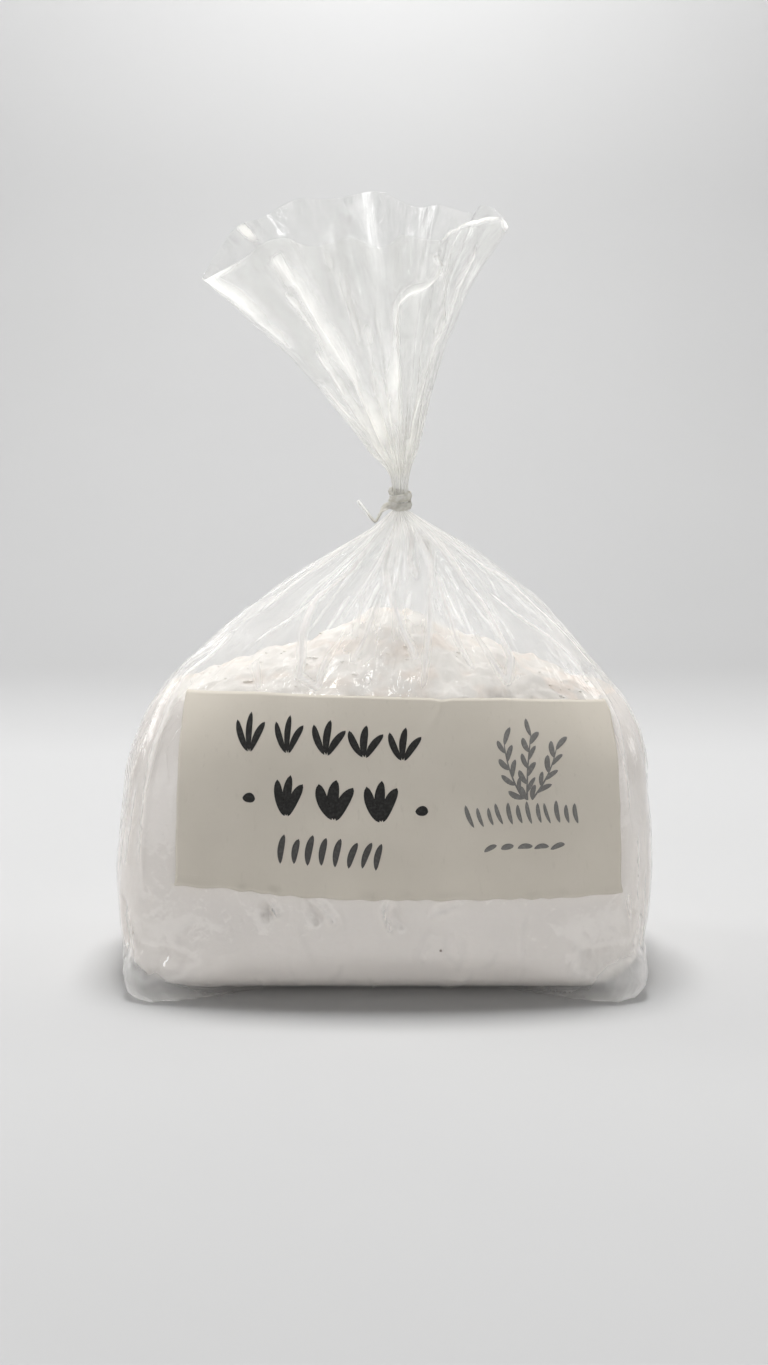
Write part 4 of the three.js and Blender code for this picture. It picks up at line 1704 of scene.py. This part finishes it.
    def stem(self, row: GrainRow) -> Piece:
        """A thin tapering stem drawn along a row.

        Args:
            row: The row.
        Returns:
            The stem's object.
        """
        line = self.line(row)
        along = np.gradient(line, axis=0)
        side = np.stack([-along[:, 1], along[:, 0], np.zeros(len(line))], axis=1)
        side /= np.linalg.norm(side, axis=1, keepdims=True)
        half = 0.5 * row.stem * np.linspace(1.0, 0.5, len(line))[:, None] * side
        lift = np.array([0.0, 0.0, self.thickness])
        front = np.stack([line - half, line + half]) + lift
        return slab("stem", front, front - lift)

    def wrap(self, piece: Piece) -> None:
        """Bends flat print onto the label's outer face.

        Args:
            piece: The print, flat on the XY plane.
        """
        label = self.label
        step = self.wrap_step
        across = np.arange(-label.width / 2, label.width / 2 + step / 2, step)
        height = np.arange(label.low, label.high + step / 2, step)
        face = label.surface(across, height, self.lift)
        outward = outward_flat_normals(face)
        flat = np.array([v.co for v in piece.data.vertices]) / MM
        up_label = flat[:, 1] + (label.low + label.high) / 2
        column = np.clip((flat[:, 0] - across[0]) / step, 0, len(across) - 1.001)
        row = np.clip((up_label - height[0]) / step, 0, len(height) - 1.001)
        c, r = column.astype(int), row.astype(int)
        right, up = (column - c)[:, None], (row - r)[:, None]

        def between(grid: Grid) -> np.ndarray:
            """The grid's value at each vertex.

            Args:
                grid: Values over the label's face.
            Returns:
                The values.
            """
            low = grid[r, c] * (1 - right) + grid[r, c + 1] * right
            high = grid[r + 1, c] * (1 - right) + grid[r + 1, c + 1] * right
            return low * (1 - up) + high * up

        placed = between(face) + between(outward) * flat[:, 2:]
        piece.data.vertices.foreach_set("co", (placed * MM).astype(np.float32).ravel())

    def build(self, rows: tuple[GrainRow, ...], name: str, finish: Material) -> Piece:
        """Prints rows of grains of one ink.

        Args:
            rows: The rows.
            name: Name of the piece.
            finish: The ink.
        Returns:
            The piece.
        """
        tool = self.tool()
        parts = []
        for row in rows:
            stamp = self.stamp(row)
            route = route_object(row.name, self.line(row))
            parts.append(tool.apply(route, row.name + "_print", Count=row.count, Mark=stamp,
                                    Tilt=math.radians(row.tilt), Swing=math.radians(row.swing), Seed=row.seed,
                                    Material=finish))
            if row.stem:
                parts.append(self.stem(row))
            drop(stamp)
            drop(route)
        piece = join(name, parts)
        self.wrap(piece)
        dress(piece, finish, "paper")
        return piece


def route_object(name: str, line: np.ndarray) -> Piece:
    """A line through points in millimetres, as a mesh of edges.

    Args:
        name: Name of the object.
        line: The points.
    Returns:
        The linked object.
    """
    mesh = bpy.data.meshes.new(name)
    mesh.from_pydata((line * MM).tolist(), [(k, k + 1) for k in range(len(line) - 1)], [])
    made = bpy.data.objects.new(name, mesh)
    bpy.context.scene.collection.objects.link(made)
    return made


def join(name: str, parts: list[Piece]) -> Piece:
    """Joins mesh objects at the origin into one.

    Args:
        name: Name of the piece.
        parts: The objects, which are removed.
    Returns:
        The linked object.
    """
    vertices: list[list[float]] = []
    faces: list[tuple[int, ...]] = []
    for part in parts:
        first = len(vertices)
        vertices += [list(np.array(v.co) / MM) for v in part.data.vertices]
        faces += [tuple(first + i for i in polygon.vertices) for polygon in part.data.polygons]
        drop(part)
    return link_mesh(name, np.array(vertices), faces)


# ---- Twist tie ----
@dataclass
class TwistTie:
    """A wire between two plastic wings, wound round the neck, with a free tail at the left."""

    form: BagForm
    width: float = 2.0
    wing: float = 0.32  # thickness of a wing
    wire: float = 0.8  # thickness over the wire
    turns: float = 1.9
    pitch: float = 2.35
    gap: float = 0.35
    end_angle: float = -0.15
    steps_per_turn: int = 32
    tail_steps: int = 40
    painted_shade_fade: Pair = (-9.5, -7.0)  # from the neck's axis, no painted shade to full painted shade
    # The tail hangs down left of the neck and turns up again, from the neck's axis at its foot.
    tail: tuple[Triple, ...] = (
        (-3.0, -3.4, 1.6), (-4.9, -4.0, 0.2), (-6.5, -4.5, -2.5), (-8.0, -4.9, -1.2), (-11.2, -5.2, 3.0))

    def route(self) -> tuple[np.ndarray, np.ndarray]:
        """Points of the strip's middle, and which way its flat faces at each.

        Returns:
            The points and the directions.
        """
        radius = self.form.neck_radius + self.gap + self.wire / 2
        turned = np.linspace(0.0, self.turns, round(self.turns * self.steps_per_turn) + 1)
        angle = self.end_angle + 2 * np.pi * (self.turns - turned)
        coil = np.stack([self.form.neck_x + radius * np.sin(angle), -radius * np.cos(angle),
                         self.form.tie_high - self.width / 2 - self.pitch * turned], axis=1)
        bends = [(self.form.neck_x + x, y, self.form.tie_low + z) for x, y, z in self.tail]
        free = rounded_route(np.array([coil[-1], *bends]), self.tail_steps)[1:]
        line = np.concatenate([coil, free])
        along = np.gradient(line, axis=0)
        along /= np.linalg.norm(along, axis=1, keepdims=True)
        twist = smoothstep(np.arange(len(line)) - len(coil), 0.0, self.tail_steps / 2)[:, None]
        across = (1 - twist) * np.array([0.0, 0.0, 1.0]) + twist * np.array([0.0, 1.0, 0.0])
        across -= along * (across * along).sum(axis=1, keepdims=True)
        across /= np.linalg.norm(across, axis=1, keepdims=True)
        line[:, :2] += self.form.centring
        return line, np.cross(across, along)

    def tool(self) -> NodeTool:
        """The tree that sweeps the strip's section, wings and wire, along a route.

        Returns:
            The tool.
        """
        tool = NodeTool("strip_along_route", {"Width": "NodeSocketFloat", "Wing": "NodeSocketFloat",
                                              "Wire": "NodeSocketFloat", "Material": "NodeSocketMaterial"})
        tree = tool.tree
        curve = add_node(tree, "GeometryNodeMeshToCurve", {0: tool["Geometry"]})
        facing = add_node(tree, "GeometryNodeInputNamedAttribute", {"Name": "facing"},
                          data_type="FLOAT_VECTOR")
        turned = add_node(tree, "GeometryNodeSetCurveNormal", {"Curve": curve.outputs[0]}, mode="FREE")
        tree.links.new(facing.outputs[0], turned.inputs["Normal"])
        ring = add_node(tree, "GeometryNodeCurvePrimitiveCircle", {"Resolution": 28, "Radius": 1.0})
        place = add_node(tree, "GeometryNodeInputPosition")
        parts = add_node(tree, "ShaderNodeSeparateXYZ", {0: place.outputs[0]})
        x, y = parts.outputs[0], parts.outputs[1]
        side = maths(tree, "SIGN", y)
        wing = maths(tree, "MULTIPLY", maths(tree, "POWER", maths(tree, "ABSOLUTE", y), 0.35),
                     maths(tree, "MULTIPLY", tool["Wing"], 0.5))
        bulge = maths(tree, "POWER", maths(tree, "SUBTRACT", 1.0, maths(tree, "MULTIPLY", x, x)), 6.0)
        over = maths(tree, "MULTIPLY", maths(tree, "SUBTRACT", tool["Wire"], tool["Wing"]), 0.5)
        thick = maths(tree, "MULTIPLY", side, maths(tree, "ADD", wing, maths(tree, "MULTIPLY", bulge, over)))
        wide = maths(tree, "MULTIPLY", x, maths(tree, "MULTIPLY", tool["Width"], 0.5))
        section = add_node(tree, "ShaderNodeCombineXYZ", {0: thick, 1: wide})
        shaped = add_node(tree, "GeometryNodeSetPosition",
                          {"Geometry": ring.outputs[0], "Position": section.outputs[0]})
        swept = add_node(tree, "GeometryNodeCurveToMesh",
                         {"Curve": turned.outputs[0], "Profile Curve": shaped.outputs[0], "Fill Caps": True})
        tool.finish(swept.outputs[0])
        return tool

    def build(self, finish: Material) -> Piece:
        """Builds and dresses the tie.

        Args:
            finish: The tie material.
        Returns:
            The piece.
        """
        line, facing = self.route()
        route = route_object("tie_route", line)
        layer = route.data.attributes.new("facing", "FLOAT_VECTOR", "POINT")
        layer.data.foreach_set("vector", facing.astype(np.float32).ravel())
        piece = self.tool().apply(route, "twist_tie_strip", Width=self.width * MM, Wing=self.wing * MM,
                                  Wire=self.wire * MM, Material=finish)
        drop(route)
        left = np.array([v.co.x for v in piece.data.vertices]) / MM - self.form.centring[0] - self.form.neck_x
        # Painted shade: full over the coil, fading out towards the tail's tip.
        store_field(piece, "scuff", smoothstep(left, *self.painted_shade_fade))
        dress(piece, finish, "tie", "twist_tie")
        return piece


def rounded_route(bends: np.ndarray, steps: int) -> np.ndarray:
    """A smooth route through the bends, in equal steps.

    Args:
        bends: Points that the route passes.
        steps: Number of steps.
    Returns:
        The route's points.
    """
    padded = np.concatenate([2 * bends[:1] - bends[1:2], bends, 2 * bends[-1:] - bends[-2:-1]])
    fine = []
    for k in range(1, len(padded) - 2):
        before, start, end, after = padded[k - 1:k + 3]
        t = np.linspace(0.0, 1.0, 20, endpoint=k == len(padded) - 3)[:, None]
        fine.append(0.5 * (2 * start + (end - before) * t + (2 * before - 5 * start + 4 * end - after) * t**2
                           + (3 * start - before - 3 * end + after) * t**3))
    path = np.concatenate(fine)
    length = np.concatenate([[0.0], np.cumsum(np.linalg.norm(np.diff(path, axis=0), axis=1))])
    at = np.linspace(0.0, length[-1], steps + 1)
    return np.stack([np.interp(at, length, path[:, axis]) for axis in range(3)], axis=1)


# ---- Studio ----
@dataclass(frozen=True)
class SoftBox:
    """A soft rectangular light that looks at a point above the middle of the bag."""

    name: str
    place: Triple  # metres
    size: Pair
    power: float
    aim: Triple = (0.0, 0.0, 0.09)
    gloss_only: bool = False  # shows in shiny film and lights nothing else


@dataclass
class Studio:
    """Floor, sweep, lights and camera."""

    camera_distance: float = 0.560  # in front of the bag
    camera_height: float = 0.170
    camera_pitch: float = 9.5  # degrees down
    focal_px: float = 2100.0  # focal length in pixels of a photo 1365 pixels high
    photo_height_px: float = 1365.0
    floor_grey: float = 0.59
    wall_grey: float = 0.47
    horizon: Pair = (0.28, 0.50)  # depths between which the floor turns into the wall
    sweep_start: float = 0.47  # where the floor begins to curve up behind the bag
    sweep_radius: float = 0.26
    sweep_top: float = 1.8
    lights: tuple[SoftBox, ...] = (
        SoftBox("overhead", (0.0, 0.20, 0.95), (0.38, 0.26), 8.4, (0.0, -0.2, 0.0)),
        SoftBox("left", (-0.85, 0.30, 0.45), (0.3, 0.6), 2.3),
        SoftBox("right", (0.85, 0.30, 0.45), (0.3, 0.6), 1.2),
        SoftBox("wall_wash", (0.0, 0.50, 0.54), (0.2, 0.1), 0.80, (0.0, 0.73, 0.37)),
        SoftBox("sheen_front", (0.0, -0.9, 1.0), (1.4, 0.9), 3.6, gloss_only=True),
        SoftBox("sheen_top", (0.0, 0.1, 1.5), (1.8, 1.6), 6.0, (0.0, 0.0, 0.1), True),
        SoftBox("spark", (-0.25, -0.70, 0.95), (0.16, 0.10), 0.5, gloss_only=True),
        SoftBox("sheen_left", (-1.0, -0.1, 0.75), (1.2, 1.1), 3.2, gloss_only=True),
        SoftBox("sheen_right", (1.0, -0.1, 0.75), (1.2, 1.1), 3.0, gloss_only=True),
    )
    room_low: float = 1.42  # strength of the surround low down,
    room_high: float = 0.06  # high up in front of the bag,
    room_back: float = 0.62  # and high up behind it
    distance_low: float = 0.23  # brightness of what shows past the floor's far end, low down
    distance_high: float = 0.62  # and above it
    sweep_half: float = 2.4  # half the width of the floor, and its length in front
    sweep_steps: int = 24  # in the curve between floor and wall

    def build(self) -> None:
        """Builds the stage, the lights and the camera."""
        self.build_sweep()
        self.build_world()
        for light in self.lights:
            self.build_light(light)
        self.build_camera()

    def build_sweep(self) -> None:
        """A pale floor that curves up into a wall; its back is see-through, so views from behind are open."""
        profile = [(-self.sweep_half, 0.0), (self.sweep_start, 0.0)]
        for k in range(1, self.sweep_steps + 1):
            angle = math.radians(90 * k / self.sweep_steps)
            profile.append((self.sweep_start + self.sweep_radius * math.sin(angle),
                            self.sweep_radius * (1 - math.cos(angle))))
        profile.append((self.sweep_start + self.sweep_radius, self.sweep_top))
        sides = (-self.sweep_half, self.sweep_half)
        vertices = [(x / MM, y / MM, z / MM) for y, z in profile for x in sides]
        faces = [(2 * k, 2 * k + 1, 2 * k + 3, 2 * k + 2) for k in range(len(profile) - 1)]
        sweep = link_mesh("studio_sweep", np.array(vertices), faces)
        material, tree, output = new_material("pale_paper_sweep")
        place = object_place(tree)
        grain = noise_node(tree, place, 5.0, 2.0)
        depth = add_node(tree, "ShaderNodeSeparateXYZ", {0: place}).outputs[1]
        rise = remap(tree, depth, self.horizon, (0.0, 1.0))
        colour = blend_colour(tree, rise, (self.floor_grey,) * 3 + (1.0,), (self.wall_grey,) * 3 + (1.0,))
        colour = blend_colour(tree, maths(tree, "MULTIPLY", grain, 0.05), colour, (1.0, 1.0, 1.0, 1.0))
        matt = add_node(tree, "ShaderNodeBsdfDiffuse", {"Color": colour})
        clear = add_node(tree, "ShaderNodeBsdfTransparent")
        back = add_node(tree, "ShaderNodeNewGeometry").outputs["Backfacing"]
        shown = mix_shader(tree, back, matt, clear)
        tree.links.new(shown.outputs[0], output.inputs["Surface"])
        sweep.data.materials.append(material)

    def build_world(self) -> None:
        """A pale surround, dim high up on the camera's side of the room."""
        world = bpy.data.worlds.new("pale_room")
        world.use_nodes = True
        tree = world.node_tree
        surround = tree.nodes["Background"]
        surround.inputs["Color"].default_value = (1.0, 1.0, 1.0, 1.0)
        direction = add_node(tree, "ShaderNodeTexCoord").outputs["Generated"]
        parts = add_node(tree, "ShaderNodeSeparateXYZ", {0: direction})
        front = remap(tree, parts.outputs[2], (0.2, 0.5), (self.room_low, self.room_high))
        behind = remap(tree, parts.outputs[1], (0.05, 0.45), (0.0, 1.0))
        reach = maths(tree, "MULTIPLY", behind, maths(tree, "SUBTRACT", self.room_back, front))
        lit = maths(tree, "ADD", front, reach)
        distance = remap(tree, parts.outputs[2], (-0.12, 0.14), (self.distance_low, self.distance_high))
        seen = add_node(tree, "ShaderNodeLightPath").outputs["Is Camera Ray"]
        change = maths(tree, "MULTIPLY", seen, maths(tree, "SUBTRACT", distance, lit))
        tree.links.new(maths(tree, "ADD", lit, change), surround.inputs["Strength"])
        bpy.context.scene.world = world

    def build_light(self, box: SoftBox) -> None:
        """One soft light that the camera doesn't see.

        Args:
            box: The light.
        """
        data = bpy.data.lights.new(box.name, "AREA")
        data.shape, data.size, data.size_y, data.energy = "RECTANGLE", *box.size, box.power
        lamp = bpy.data.objects.new(box.name, data)
        lamp.location = box.place
        aim = Vector(box.aim) - Vector(box.place)
        lamp.rotation_euler = aim.to_track_quat("-Z", "Y").to_euler()
        lamp.visible_camera = False
        lamp.visible_diffuse = not box.gloss_only
        bpy.context.scene.collection.objects.link(lamp)

    def build_camera(self) -> None:
        """The camera at the photo's place and angle."""
        data = bpy.data.cameras.new("photo_camera")
        data.sensor_fit = "VERTICAL"
        data.sensor_height = 36.0
        data.lens = self.focal_px / self.photo_height_px * data.sensor_height
        camera = bpy.data.objects.new("photo_camera", data)
        camera.location = (0.0, -self.camera_distance, self.camera_height)
        camera.rotation_euler = Euler((math.radians(90 - self.camera_pitch), 0.0, 0.0))
        bpy.context.scene.collection.objects.link(camera)
        bpy.context.scene.camera = camera


def set_light_paths() -> None:
    """Lets light pass through the many layers of film, and shows colours plainly."""
    scene = bpy.context.scene
    scene.view_settings.view_transform = "Standard"
    scene.cycles.max_bounces = 12
    scene.cycles.diffuse_bounces = 5
    scene.cycles.glossy_bounces = 4
    scene.cycles.transparent_max_bounces = 64
    scene.cycles.caustics_reflective = False


def write_sizes() -> None:
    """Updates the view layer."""
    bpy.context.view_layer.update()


def main() -> None:
    """Builds the bag, its contents, its label, its tie and the studio."""
    logging.basicConfig(level=logging.INFO, format="%(message)s")
    Studio().build()
    set_light_paths()
    form = BagForm()
    film_finish = FilmFinish().build()
    flour_finish = FlourFinish().build()
    film = FilmBody(form)
    skin = film.build(film_finish)
    FilmMouth(form).build(film_finish)
    flour = Flour(form).build(flour_finish, film, skin)
    Crumbs().build(flour, FlourFinish("loose_clods", lump_depth=0.06).build())
    label = Label(form)
    label.build(PaperFinish().build())
    marks = Print(label)
    black = InkFinish("black_ink", (0.022, 0.021, 0.02, 1.0), (0.05, 0.05, 0.048, 1.0))
    dark_grey = InkFinish("dark_grey_ink", (0.075, 0.073, 0.07, 1.0), (0.12, 0.115, 0.11, 1.0))
    grey = InkFinish("grey_ink", (0.19, 0.185, 0.175, 1.0), (0.27, 0.26, 0.245, 1.0))
    marks.build(marks.bold, "print_black", black.build())
    marks.build(marks.plain, "print_dark_grey", dark_grey.build())
    marks.build(marks.grey, "print_grey", grey.build())
    TwistTie(form).build(TieFinish().build())
    write_sizes()


if __name__ == "__main__":
    main()
